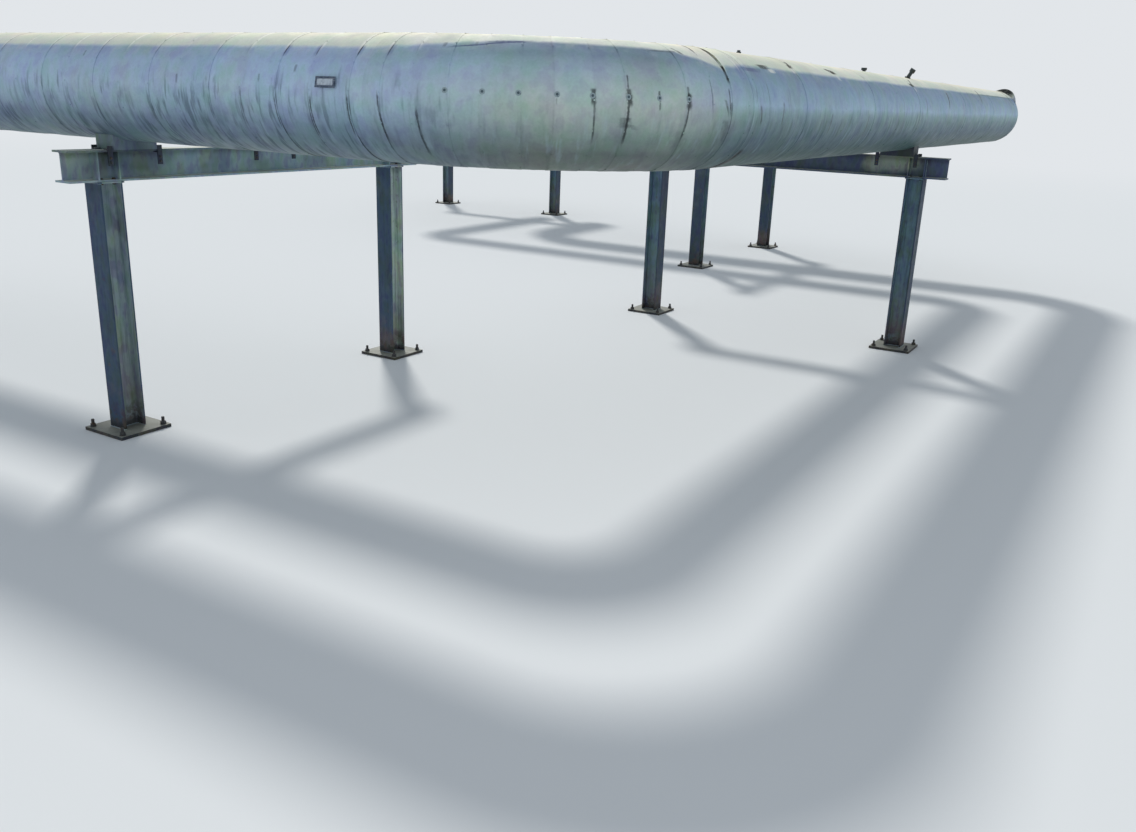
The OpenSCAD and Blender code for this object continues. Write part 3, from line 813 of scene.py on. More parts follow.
class Sheet:
    """One sheet or gore. Each of its two ends lies on a plane, given as a slope and a place
    along; span is where both ends are along the whole piece."""

    def __init__(self, pipe, axes, planes, span, over, tone):
        self.pipe, self.axes, self.planes, self.span = pipe, axes, planes, span
        self.over, self.tone = over, tone
        self.radius = pipe.jacket_r if over else pipe.jacket_r - lap_step

    def halfway(self):
        """The same sheet with both ends brought to its middle."""
        middle = tuple(np.mean(self.planes, axis=0))
        return Sheet(self.pipe, self.axes, (middle, middle), (np.mean(self.span),) * 2,
                     self.over, self.tone)

    def narrowest(self):
        """How long the sheet is where it is shortest, on the inside of a bend."""
        (start_slope, start), (end_slope, end) = self.planes
        reach = self.pipe.bend_r - self.pipe.jacket_r
        return abs((end_slope - start_slope) * reach + end - start)

    def along(self, end, inset):
        return self.span[1] - inset if end else self.span[0] + inset

    def ring(self, end, inset, radius, theta):
        """Points round the sheet at a distance inside one of its ends."""
        axes, (slope, past) = self.axes, self.planes[end]
        reach = axes.bend_r + axes.side * radius * np.sin(theta)
        onward = slope * reach + past + (-inset if end else inset)
        points = axes.corner + reach[:, None] * axes.out + onward[:, None] * axes.way
        points[:, 2] += radius * np.cos(theta)
        return points

    def seats(self, end, inset, radius, theta):
        """The same points with the way out of the sheet beside each."""
        points = self.ring(end, inset, radius, theta)
        deeper = self.ring(end, inset, radius - probe_l, theta)
        return np.concatenate([points, (points - deeper) / probe_l], 1)


def even_laps(length, longest, one_in_middle=False):
    """Where the laps of a straight stretch fall: equal sheets between two make-up sheets."""
    between = length - 2 * makeup_l
    count = math.ceil(between / longest - 1e-9)
    if one_in_middle and count % 2 == 0:
        count += 1
    full = between / count
    return [0.0] + [makeup_l + i * full for i in range(count + 1)] + [length]


def straight_sheets(pipe, laps, bent_at, corner, way, out, seed):
    """Sheets of a straight stretch from corner along way; the one over the bent lies on top."""
    dice = random.Random(seed)
    axes = Axes(np.array((*corner, pipe.axis_z)), np.array((*out, 0.0)),
                np.array((*way, 0.0)), 0.0, 1.0)
    seat = max(i for i, lap in enumerate(laps[:-1]) if lap <= bent_at)
    sheets = []
    for i, span in enumerate(zip(laps, laps[1:])):
        planes = [(0.0, lap) for lap in span]
        sheets.append(Sheet(pipe, axes, planes, span, (i - seat) % 2 == 0, dice.gauss(0, 1)))
    return sheets


def elbow_sheets(pipe, centre, first, second, side, shift, seed):
    """Gores of a quarter bend round centre, from direction first to direction second."""
    dice = random.Random(seed)
    step = 90.0 / pipe.joints
    turns = [0.0] + [i * step + shift for i in range(1, pipe.joints)] + [90.0]
    cuts = [0.0] + [(a + b) / 2 for a, b in zip(turns, turns[1:])] + [90.0]
    first, second = np.array((*first, 0.0)), np.array((*second, 0.0))
    sheets = []
    for i, (turn, *ends) in enumerate(zip(turns, cuts, cuts[1:])):
        cos, sin = math.cos(math.radians(turn)), math.sin(math.radians(turn))
        axes = Axes(np.array((*centre, pipe.axis_z)), cos * first + sin * second,
                    cos * second - sin * first, pipe.bend_r, side)
        planes = [(math.tan(math.radians(cut - turn)), 0.0) for cut in ends]
        span = [math.radians(cut) * pipe.bend_r for cut in ends]
        sheets.append(Sheet(pipe, axes, planes, span, i % 2 == 0, dice.gauss(0, 1)))
    return sheets


def wrap_angle(theta):
    return (theta + np.pi) % (2 * np.pi) - np.pi


class Shell:
    """Rings of points round the pipe, and what the sheet's look reads on each."""

    def __init__(self, columns, look):
        self.theta = wrap_angle(np.arange(columns) * 2 * np.pi / columns)
        self.look, self.rings, self.worn = look, [], []

    def edge(self, sheet, end, inset, radius, lap, seen=0.0):
        """A ring at a distance inside one end of a sheet."""
        along = sheet.along(end, inset)
        self.rings.append(sheet.ring(end, inset, radius, self.theta))
        self.worn.append((along, lap, sheet.tone, seen, *self.look(along)))


def lip_height(dice, theta, slack):
    """How far the lip of a joint stands off the sheet under it, all the way round."""
    height = np.full(len(theta), -0.0002)
    for turns in (1, 2, 3, 5):
        a, b = dice.normal(0, lip_play, 2)
        height = height + a * np.cos(turns * theta) + b * np.sin(turns * theta)
    return slack * np.clip(height, 0, lip_most)


def sprung(theta, middle, half, height):
    """How far a sprung lap stands up round its middle, both angles in degrees."""
    off = np.abs(wrap_angle(theta - math.radians(middle))) / math.radians(half)
    return height * np.clip(1 - off ** 2, 0, 1) ** 1.5


def side_rings(sheet, other, end, up, near):
    """Rings from inside a sheet to one of its ends and on round its lip, each as the sheet
    and the end it is measured from, the inset, the radius and the lap."""
    r = sheet.radius
    if other is None:
        return [(sheet, end, near, r, end_lap), (sheet, end, 0.0, r, end_lap)]
    if sheet.over:
        return [(sheet, end, near, r, -0.05), (sheet, end, near * 0.5, r + up * 0.15, -0.03),
                (sheet, end, 0.0, r + up * 0.5, -lip_l),
                (other, not end, lip_l, other.radius + lap_step + up, -0.0002),
                (other, not end, lip_l, other.radius + lip_gap + up, 0.0002)]
    return [(sheet, end, lip_l + near, r, near), (sheet, end, lip_l + 0.012, r, 0.012),
            (sheet, end, lip_l + 0.0005, r, 0.0005), (sheet, end, root_l, r, 0.0003)]


def joint_screws(sheet, other, end, up, shell):
    """Lap screws round one joint: their seats, and what the sheet reads there."""
    count = sheet.pipe.screws
    theta = first_screw + np.arange(count) * 2 * np.pi / count
    turned = wrap_angle(theta)
    order = np.argsort(shell.theta)
    radius = other.radius + lap_step + np.interp(turned, shell.theta[order], up[order])
    along, share = sheet.along(end, 0.0), turned[:, None] / np.pi
    worn = np.tile([along, -0.006, sheet.tone, 0.0, *shell.look(along)], (count, 1))
    return np.concatenate([other.seats(not end, screw_inset, radius, theta),
                           np.abs(share), share, worn], 1)


def jacket_shell(piece):
    """Closed shell of one jacket piece: outside with its lapped edges, ends, and bore.
    Also the places of its lap screws."""
    sheets, bore = piece.sheets, piece.pipe.bore
    shell = Shell(piece.columns, piece.look)
    dice = np.random.default_rng(piece.seed)
    joints = len(sheets) - 1
    lift = [lip_height(dice, shell.theta, piece.slack) for _ in range(joints)]
    for joint, middle, half, height in piece.sprung:
        lift[joint] = lift[joint] + sprung(shell.theta, middle, half, height)
    seen = [*piece.seen, *(dice.uniform(0.15, 0.9) for _ in range(joints - len(piece.seen)))]
    lift, seen = [None, *lift, None], [0.0, *seen, 0.0]
    knee = min(knee_l, knee_share * sheets[1].narrowest())
    screws = []

    shell.edge(sheets[0], False, 0.0, bore, bore_lap)
    for i, sheet in enumerate(sheets):
        near = min(knee, 0.3 * (sheet.span[1] - sheet.span[0]))
        wave = sum(dice.normal(0, sheet_wave) * np.cos(k * shell.theta + dice.uniform(0, 6.3))
                   for k in (2, 3, 4))
        others = (sheets[i - 1] if i else None, sheets[i + 1] if i < joints else None)
        for end, other in enumerate(others):
            rings = side_rings(sheet, other, end, lift[i + end], near)
            if other and sheet.over:
                screws.append(joint_screws(sheet, other, end, lift[i + end], shell))
            if end:
                shell.edge(sheet.halfway(), False, 0.0, sheet.radius + wave,
                           -mid_lap if sheet.over else mid_lap, (seen[i] + seen[i + 1]) / 2)
            for ring in (rings if end else reversed(rings)):
                shell.edge(*ring, seen[i + end])
    shell.edge(sheets[-1], True, 0.0, bore, bore_lap)
    if piece.elbow:
        for sheet in reversed(sheets[1:]):
            shell.edge(sheet, False, 0.0, bore, bore_lap)
    return shell, np.concatenate(screws)


def shell_quads(points, rings, columns):
    """Faces that join each ring to the next and the last to the first, facing outwards."""
    a = np.arange(rings)[:, None] * columns + np.arange(columns)[None, :]
    b = np.roll(a, -1, axis=0)
    quads = np.stack([a, np.roll(a, -1, axis=1), np.roll(b, -1, axis=1), b], -1).reshape(-1, 4)
    p0, p1, p2, p3 = (points[quads[:, k]] for k in range(4))
    volume = np.einsum("ij,ij->i", p0, np.cross(p1, p2)).sum()
    volume += np.einsum("ij,ij->i", p0, np.cross(p2, p3)).sum()
    return quads[:, ::-1] if volume < 0 else quads


def shell_object(name, shell, mirrored):
    """The shell as a mesh, carrying at each point what the sheet's look reads."""
    rings, columns = len(shell.rings), len(shell.theta)
    points = np.concatenate(shell.rings)
    if mirrored:
        points[:, 0] *= -1
    quads = shell_quads(points, rings, columns)
    mesh = bpy.data.meshes.new(name)
    mesh.vertices.add(len(points))
    mesh.vertices.foreach_set("co", points.astype(np.float32).ravel())
    mesh.loops.add(quads.size)
    mesh.loops.foreach_set("vertex_index", quads.astype(np.int32).ravel())
    mesh.polygons.add(len(quads))
    mesh.polygons.foreach_set("loop_start", np.arange(0, quads.size, 4, dtype=np.int32))
    mesh.update(calc_edges=True)
    mesh.validate()
    mesh.polygons.foreach_set("use_smooth", np.ones(len(mesh.polygons), bool))
    mesh.set_sharp_from_angle(angle=math.radians(28))
    side = shell.theta / np.pi
    worn = [np.tile(np.abs(side), rings), np.tile(side, rings)]
    worn += [np.repeat(values, columns) for values in zip(*shell.worn)]
    for key, values in zip(worn_as, worn):
        mesh.attributes.new(key, "FLOAT", "POINT").data.foreach_set(
            "value", values.astype(np.float32))
    thing = bpy.data.objects.new(name, mesh)
    bpy.context.scene.collection.objects.link(thing)
    return thing


def show(thing, finish, slot, *nodes):
    if finish:
        thing.data.materials.clear()
        thing.data.materials.append(finish)
    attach(thing, "root")
    if nodes:
        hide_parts(*nodes)


# Looks: the zone at a place along a piece, and where the pale crown, painted sunlight and dust,
# ends there

zone_leg, zone_elbow, zone_end = 0.0, 1.0, 2.0
leg_crown, end_crown = 0.236, 0.242
# Round a front elbow, by degrees from the leg
bend_crown = (
    (0, leg_crown), (12, 0.206), (21, 0.176), (31, 0.146), (61, 0.160), (67, 0.168),
    (70, 0.202), (75, 0.236), (79.8, 0.292), (80.6, 0.292), (81.2, 0.262), (85, 0.262),
    (90, end_crown))
bend_zone = ((3, zone_leg), (38, zone_elbow), (64, zone_elbow), (88, zone_end))


def leg_look(along):
    return zone_leg, leg_crown


def end_look(along):
    return zone_end, end_crown


def bend_look(bend_r):
    """A front elbow passes from the look of a leg to that of the end leg."""
    def look(along):
        turn = math.degrees(along / bend_r)
        return tuple(np.interp(turn, *zip(*steps)) for steps in (bend_zone, bend_crown))
    return look


# Marks that the photo shows, each as its place along, half length, from angle, to angle, lean,
# strength and shade; the angles are in degrees down from the crown

ink, slate, chalk = rgb(24, 30, 34), rgb(56, 68, 76), rgb(228, 230, 224)
olive, black = rgb(42, 38, 20), rgb(4, 6, 8)
violet, indigo, mauve = rgb(54, 72, 120), rgb(46, 60, 108), rgb(66, 78, 128)
teal, green = rgb(34, 52, 50), rgb(74, 98, 90)


def at(degrees):
    """How far along the outer pipe's elbow a place is."""
    return math.radians(degrees) * outer.bend_r


front_left_marks = [
    (at(46.0), 0.018, 75, 90, 0.00, 0.78, ink), (at(46.2), 0.008, 86, 122, 0.01, 0.70, ink),
    (at(53.0), 0.007, 62, 76, 0.00, 0.70, ink), (at(53.1), 0.021, 74, 90, 0.01, 0.82, ink),
    (at(53.1), 0.010, 86, 126, -0.01, 0.80, ink), (at(52.4), 0.042, 98, 108, 0.00, 0.50, ink),
    (at(54.4), 0.020, 104, 109, 0.02, 0.30, slate),
    (at(59.6), 0.009, 75, 80, 0.00, 0.65, ink), (at(59.8), 0.008, 83, 92, 0.00, 0.55, ink),
    (at(59.6), 0.012, 80, 83, 0.00, 0.55, chalk),
    (at(66.8), 0.010, 70, 81, 0.00, 0.75, ink), (at(67.0), 0.022, 76, 91, 0.00, 0.82, ink),
    (at(66.8), 0.008, 86, 120, -0.02, 0.75, ink),
    (at(66.0), 0.050, 108, 128, 0.00, 0.25, slate), (at(39.0), 0.005, 84, 90, 0.00, 0.30, ink),
    (at(73.3), 0.006, 62, 90, 0.00, 0.45, slate), (at(74.0), 0.005, 70, 90, 0.00, 0.30, chalk),
    # The ink from 12 to 66 degrees down, at 73.9 to 79.8 degrees round the bend, is painted
    # shadow in the sprung laps; the chalk beside it is pale strokes.
    (at(73.9), 0.010, 12, 34, 0.00, 0.75, ink), (at(72.6), 0.010, 16, 38, 0.03, 0.70, chalk),
    (at(79.7), 0.011, 18, 48, -0.01, 0.85, ink), (at(78.7), 0.009, 22, 52, 0.02, 0.65, chalk),
    (at(79.8), 0.016, 46, 66, 0.00, 0.95, ink), (at(82.4), 0.030, 30, 48, -0.03, 0.50, chalk),
    (at(79.0), 0.007, 70, 94, 0.00, 0.75, ink), (at(77.5), 0.007, 80, 96, 0.03, 0.60, ink),
    (at(78.2), 0.030, 98, 124, 0.05, 0.40, slate), (at(79.6), 0.012, 82, 96, 0.00, 0.55, ink),
    (at(67.8), 0.012, 24, 36, 0.05, 0.60, ink), (at(64.0), 0.110, 30, 33, 0.00, 0.55, slate),
    (at(3.8), 0.008, 84, 134, 0.03, 0.75, ink), (at(12.6), 0.009, 96, 148, 0.02, 0.75, ink),
    (at(33.3), 0.042, 27, 41, -0.48, 0.75, violet),
    (at(31.6), 0.090, 27, 31, -0.10, 0.70, indigo),
    (at(16.0), 0.010, 33, 40, 0.00, 0.45, slate), (at(22.6), 0.008, 30, 36, 0.00, 0.35, slate),
    (at(86.8), 0.070, 158, 166, 0.00, 0.50, ink),
]
left_leg_marks = [
    (0.132, 0.008, 88, 128, 0.00, 0.75, ink), (0.475, 0.009, 90, 132, 0.00, 0.75, ink),
    (0.820, 0.007, 92, 124, 0.00, 0.60, ink), (1.165, 0.009, 86, 126, 0.00, 0.45, ink),
    (1.510, 0.007, 92, 122, 0.00, 0.40, slate), (2.200, 0.008, 94, 126, 0.00, 0.35, slate),
    (0.640, 0.012, 62, 70, 0.00, 0.45, slate), (0.980, 0.010, 72, 80, 0.00, 0.40, slate),
    (3.060, 0.010, 50, 58, 0.00, 0.45, slate), (1.860, 0.012, 74, 84, 0.00, 0.45, slate),
]
end_leg_marks = [
    (0.092, 0.007, 66, 84, -0.04, 0.45, ink), (0.150, 0.016, 84, 104, 0.04, 0.55, ink),
    (0.090, 0.044, 129, 161, -0.084, 1.00, black), (0.010, 0.060, 150, 170, 0.05, 1.00, black),
    (0.160, 0.190, 45, 50, 0.00, 0.60, mauve), (0.470, 0.110, 38, 45, 0.04, 0.88, teal),
    (0.600, 0.070, 43, 49, 0.02, 0.80, chalk),
    # At the laps at 1.21, 2.28 and 5.26 metres, the ink and olive under the crown are painted
    # shadow in the lifted corners of the laps.
    (1.235, 0.022, 24, 37, -0.05, 0.90, ink), (1.190, 0.030, 37, 46, -0.03, 0.75, chalk),
    (1.205, 0.050, 31, 38, -0.02, 0.95, olive),
    (2.230, 0.048, 28, 39, 0.13, 0.98, ink), (2.370, 0.040, 40, 49, 0.02, 0.70, chalk),
    (2.310, 0.085, 30, 38, 0.06, 0.98, olive),
    (5.440, 0.030, 26, 46, -0.20, 0.85, ink), (5.300, 0.030, 46, 54, 0.00, 0.45, chalk),
    (5.240, 0.095, 37, 45, 0.08, 0.85, ink),
    (6.991, 0.030, 48, 80, -0.11, 0.80, ink), (3.305, 0.016, 34, 40, 0.03, 0.45, slate),
    (0.640, 0.016, 80, 106, 0.00, 0.50, ink), (0.330, 0.008, 60, 98, 0.00, 0.40, slate),
    (1.900, 0.014, 90, 116, 0.00, 0.50, ink), (2.500, 0.012, 92, 108, 0.00, 0.40, slate),
    (3.100, 0.014, 90, 122, 0.00, 0.50, ink), (4.500, 0.014, 66, 96, 0.00, 0.35, slate),
    (5.600, 0.016, 62, 92, 0.00, 0.45, slate), (9.500, 0.060, 30, 70, -0.20, 0.45, slate),
    (10.900, 1.900, 42, 46, 0.00, 0.55, green), (12.300, 0.050, 8, 60, -0.10, 0.60, ink),
]
front_right_marks = [
    # The ink on the crown is painted shadow in the opening of the sprung lap at this joint.
    (at(86.9), 0.012, 4, 44, 0.00, 0.95, ink), (at(86.8), 0.010, 42, 80, 0.00, 0.60, chalk),
]
marks_on = {
    "outer_elbow_front_left": ("jacket_front_left_elbow", front_left_marks),
    "outer_left_jacket": ("jacket_left_leg", left_leg_marks),
    "outer_end_jacket": ("jacket_end_leg", end_leg_marks),
    "outer_elbow_front_right": ("jacket_front_right_elbow", front_right_marks),
}

# How dark each lap of a piece is drawn, for its dirt and painted shade; on the other pieces it is
# drawn at random
seen_on = {
    "outer_elbow_front_left": [.6, .2, .1, .1, .1, .1, .2, .25, .1, .25, .1, .4, .2],
    "outer_left_jacket": [1, .95, .8, .5, .25, .12, .2, .1, .15, .2, .1, .1, .2] + [.12] * 12,
    "outer_end_jacket": [.30, .05, .05, .05, .05, .05, .10, .05, .05, .05, .05, .05],
}
# Laps that have sprung up: the joint, the middle and half width in degrees, and the height
sprung_on = {
    "outer_elbow_front_left": [(10, 22, 14, 0.004), (11, 34, 22, 0.006)],
    "outer_elbow_front_right": [(12, 30, 30, 0.080)],
}
# Laps of the outer end leg, and how far the front left elbow's joints lie off even ones
end_laps = [0, 0.070, 1.210, 2.280, 3.305, 4.285, 5.255, 6.991, 7.985, 9.083, 10.202, 11.321,
            12.440, outer.end_l]
front_left_shift = 0.9


class Piece:
    """One piece of a jacket: its sheets in order, how they are worn, and the node it covers."""

    def __init__(self, pipe, name, sheets, look, mirrored, seed):
        self.pipe, self.sheets, self.look = pipe, sheets, look
        self.mirrored, self.seed = mirrored, seed
        self.node, self.elbow = f"{pipe.name}_{name}", "elbow" in name
        self.slack = tight_lip if self.elbow or name == "end_jacket" else 1.0
        self.seen, self.sprung = seen_on.get(self.node, ()), sprung_on.get(self.node, ())
        self.columns = fine_columns if self.sprung else pipe.columns

    def on_its_side(self, places):
        """The places, mirrored to the right where the piece is."""
        if self.mirrored:
            places[:, [0, 3]] *= -1
        return places


def pieces_of(number, pipe):
    """The nine pieces of a jacket: a run, a leg and two elbows on the left, the same ones to
    be mirrored to the right, and the end leg between them."""
    bend, parts = pipe.bend_r, []
    for mirrored, hand, run in ((False, "left", "inlet"), (True, "right", "outlet")):
        seed = 10 * number + 5 * mirrored
        shift = front_left_shift if pipe is outer and not mirrored else 0.0
        sheets = straight_sheets(pipe, even_laps(pipe.run_l, sheet_l), run_overhang,
                                 (-run_end_x, pipe.run_at), (1, 0), (0, -1), seed + 1)
        parts.append((f"{run}_jacket", sheets, leg_look, mirrored))
        sheets = straight_sheets(pipe, even_laps(pipe.leg_l, sheet_l),
                                 leg_bent_back - pipe.in_by - bend,
                                 (-pipe.leg_at, pipe.end_at + bend), (0, 1), (-1, 0), seed + 2)
        parts.append((f"{hand}_jacket", sheets, leg_look, mirrored))
        sheets = elbow_sheets(pipe, (-pipe.leg_at + bend, pipe.end_at + bend), (-1, 0), (0, -1),
                              1.0, shift, seed + 3)
        parts.append((f"elbow_front_{hand}", sheets, bend_look(bend), mirrored))
        sheets = elbow_sheets(pipe, (-pipe.leg_at - bend, pipe.run_at - bend), (1, 0), (0, 1),
                              -1.0, 0.0, seed + 4)
        parts.append((f"elbow_back_{hand}", sheets, leg_look, mirrored))
    laps = end_laps if pipe is outer else even_laps(pipe.end_l, end_sheet_l, True)
    sheets = straight_sheets(pipe, laps, pipe.end_l / 2, (-pipe.end_l / 2, pipe.end_at),
                             (1, 0), (0, -1), 10 * number)
    parts.append(("end_jacket", sheets, end_look, False))
    return [Piece(pipe, *part, 100 * number + order) for order, part in enumerate(parts)]


def plug_seats(sheets):
    """Seats of the plugs, one in each of the middle gores, beside the edge that lies on top."""
    seats = []
    for i in plugged_gores:
        top, end = (sheets[i], True) if sheets[i].over else (sheets[i + 1], False)
        seats.append(top.seats(end, plug_inset, top.radius, np.array([math.radians(plug_turn)])))
    return np.concatenate(seats)


def make_jackets(finishes):
    """All eighteen jacket pieces. Returns the places of the lap screws and the plugs."""
    marked = {node: finishes.marked(*given) for node, given in marks_on.items()}
    screws, plugs = {}, []
    for number, pipe in enumerate((outer, inner)):
        places = []
        for piece in pieces_of(number, pipe):
            shell, seats = jacket_shell(piece)
            show(shell_object(piece.node + "_sheets", shell, piece.mirrored),
                 marked.get(piece.node, finishes.plain), "jacket_sheet", piece.node)
            places.append(piece.on_its_side(seats))
            if piece.elbow and pipe is outer:
                plugs.append(piece.on_its_side(plug_seats(piece.sheets)))
        screws[pipe.name] = np.concatenate(places)
    return screws, np.concatenate(plugs)


# Fasteners and welds, grown on points and lines by Geometry Nodes

# Six-sided heads and nuts: radius and height of the head, then of its washer
lap_screw = (0.0040, 0.0030), (0.0062, 0.0007)
cap_bolt = (0.016, 0.012), (0.018, 0.003)
clip_bolt = (0.0105, 0.008), (0.013, 0.002)
cap_bolt_at = 0.060
clip_bolt_at = saddle_w / 2 + clip_gap + clip_w / 2
clip_bolt_drops = (0.066, 0.104)
# Plugs: name, radius, bottom, top and sides of each part
plug_parts = (("gore_washers", 0.019, -0.001, 0.0020, 20),
              ("gore_caps", 0.009, 0.0010, 0.0065, 12))
chamfer, thread_pitch, thread_ridge = 0.003, 0.0032, 0.0011
weld_bead, weld_spacing, weld_ripple, weld_setback = 0.0048, 0.014, 0.30, 0.004


class Pattern(Tree):
    """A Geometry Nodes tree with named sizes, run on a mesh of points or of lines."""

    def __init__(self, name, **sizes):
        tree = bpy.data.node_groups.new(name, "GeometryNodeTree")
        for way in ("INPUT", "OUTPUT"):
            tree.interface.new_socket("Geometry", in_out=way, socket_type="NodeSocketGeometry")
        super().__init__(tree)
        self.sizes = {key.replace("_", " "): value for key, value in sizes.items()}
        for key, value in self.sizes.items():
            kind = {int: "Int", float: "Float"}.get(type(value), "Material")
            tree.interface.new_socket(key, in_out="INPUT", socket_type="NodeSocket" + kind)
        self.given = self.add("NodeGroupInput", out=None).outputs

    def drum(self, sides, radius, low, high, taper=1.0):
        """A turned or many-sided piece standing from one height to another."""
        solid = self.add("GeometryNodeMeshCone", {
            "Vertices": sides, "Radius Bottom": radius, "Radius Top": self.times(radius, taper),
            "Depth": self.sum("SUBTRACT", high, low)})
        return self.raised(solid, low)

    def raised(self, geometry, height):
        return self.add("GeometryNodeTransform", {
            "Geometry": geometry, "Translation": self.vector(0.0, 0.0, height)})

    def join(self, pieces):
        node = self.add("GeometryNodeJoinGeometry", out=None)
        for piece in pieces:
            self.tree.links.new(piece, node.inputs[0])
        return node.outputs[0]

    def stand(self, piece, seed):
        """The piece on every point, up along the point's own direction, turned at random."""
        way = self.add("GeometryNodeInputNamedAttribute", {"Name": "outward"},
                       data_type="FLOAT_VECTOR")
        up = self.add("FunctionNodeAlignRotationToVector", {"Vector": way}, axis="Z")
        turn = self.add("FunctionNodeRandomValue", {"Min": 0.0, "Max": 6.28, "Seed": seed},
                        out="Value", data_type="FLOAT")
        spin = self.add("FunctionNodeAxisAngleToRotation", {"Axis": (0, 0, 1), "Angle": turn})
        both = self.add("FunctionNodeRotateRotation", {"Rotation": up, "Rotate By": spin},
                        rotation_space="LOCAL")
        return self.add("GeometryNodeInstanceOnPoints", {
            "Points": self.given["Geometry"], "Instance": piece, "Rotation": both})

    def end(self, geometry):
        real = self.add("GeometryNodeRealizeInstances", {"Geometry": geometry})
        done = self.add("GeometryNodeSetMaterial", {
            "Geometry": real, "Material": self.given["Finish"]})
        self.add("NodeGroupOutput", {0: done}, out=None)

    def grow(self, name, mesh):
        """Runs the tree on the mesh with its sizes set, and keeps the result as a plain mesh."""
        thing = bpy.data.objects.new(name, mesh)
        bpy.context.scene.collection.objects.link(thing)
        modifier = thing.modifiers.new("pattern", "NODES")
        modifier.node_group = self.tree
        for socket in self.tree.interface.items_tree:
            if socket.in_out == "INPUT" and socket.name in self.sizes:
                modifier[socket.identifier] = self.sizes[socket.name]
        made = bpy.data.meshes.new_from_object(
            thing.evaluated_get(bpy.context.evaluated_depsgraph_get()))
        thing.modifiers.remove(modifier)
        thing.data = made
        made.polygons.foreach_set("use_smooth", np.ones(len(made.polygons), bool))
        made.set_sharp_from_angle(angle=math.radians(32))
        return thing


def on_bent(bent, x, y, z, look=(0, 0, 1)):
    """A place and a direction given along and across the beam from a bent's first post."""
    (x0, y0), turn = bents[bent]
    c, s = round(math.cos(math.radians(turn))), round(math.sin(math.radians(turn)))
    return (x0 + x * c - y * s, y0 + x * s + y * c, z,
            look[0] * c - look[1] * s, look[0] * s + look[1] * c, look[2])


def square(reach):
    """The four corners of a square round each post, as the bent, and x and y from its first
    post."""
    return [(bent, post + x, y) for bent in bents for post in (0, post_gap)
            for x in (-reach, reach) for y in (-reach, reach)]


def point_mesh(name, places):
    """A mesh of bare points, each with its direction and what the sheet reads there, if any."""
    places = np.array(places, dtype=np.float32)
    mesh = bpy.data.meshes.new(name)
    mesh.from_pydata(places[:, :3].tolist(), [], [])
    mesh.attributes.new("outward", "FLOAT_VECTOR", "POINT").data.foreach_set(
        "vector", places[:, 3:6].ravel())
    for key, values in zip(worn_as, places[:, 6:].T):
        mesh.attributes.new(key, "FLOAT", "POINT").data.foreach_set("value", values.copy())
    return mesh


def line_mesh(name, lines, closed):
    points, edges = [], []
    for line in lines:
        first, count = len(points), len(line)
        points += line
        edges += [(first + i, first + i + 1) for i in range(count - 1)]
        if closed:
            edges.append((first + count - 1, first))
    mesh = bpy.data.meshes.new(name)
    mesh.from_pydata(points, edges, [])
    return mesh


def headed(name, places, finish, slot, sizes, seed):
    """Six-sided heads on round washers."""
    (head_r, head_h), (washer_r, washer_h) = sizes
    t = Pattern(name, Head_radius=head_r, Head_height=head_h, Washer_radius=washer_r,
                Washer_height=washer_h, Washer_sides=10, Sink=0.001, Finish=finish)
    given = t.given
    top = t.sum("ADD", given["Washer height"], given["Head height"])
    low = t.times(given["Sink"], -1.0)
    solids = [t.drum(given["Washer sides"], given["Washer radius"], low,
                     given["Washer height"], 0.96),
              t.drum(6, given["Head radius"], 0.0, top, 0.90)]
    t.end(t.stand(t.join(solids), seed))
    show(t.grow(name, point_mesh(name, places)), None, slot)


def plug_buttons(places, finishes):
    """The round plugs in the gores: a flat washer and a low domed cap on each."""
    for (name, radius, low, high, sides), finish in zip(plug_parts, finishes):
        t = Pattern(name, Radius=radius, Low=low, High=high, Sides=sides, Finish=finish)
        size = t.given
        step = t.times(t.sum("SUBTRACT", size["High"], size["Low"]), 0.6)
        waist = t.sum("ADD", size["Low"], step)
        solids = [t.drum(size["Sides"], size["Radius"], size["Low"], waist, 0.97),
                  t.drum(size["Sides"], t.times(size["Radius"], 0.97), waist, size["High"], 0.7)]
        t.end(t.stand(t.join(solids), 3))
        show(t.grow(name, point_mesh(name, places)), None, "fitting_steel")


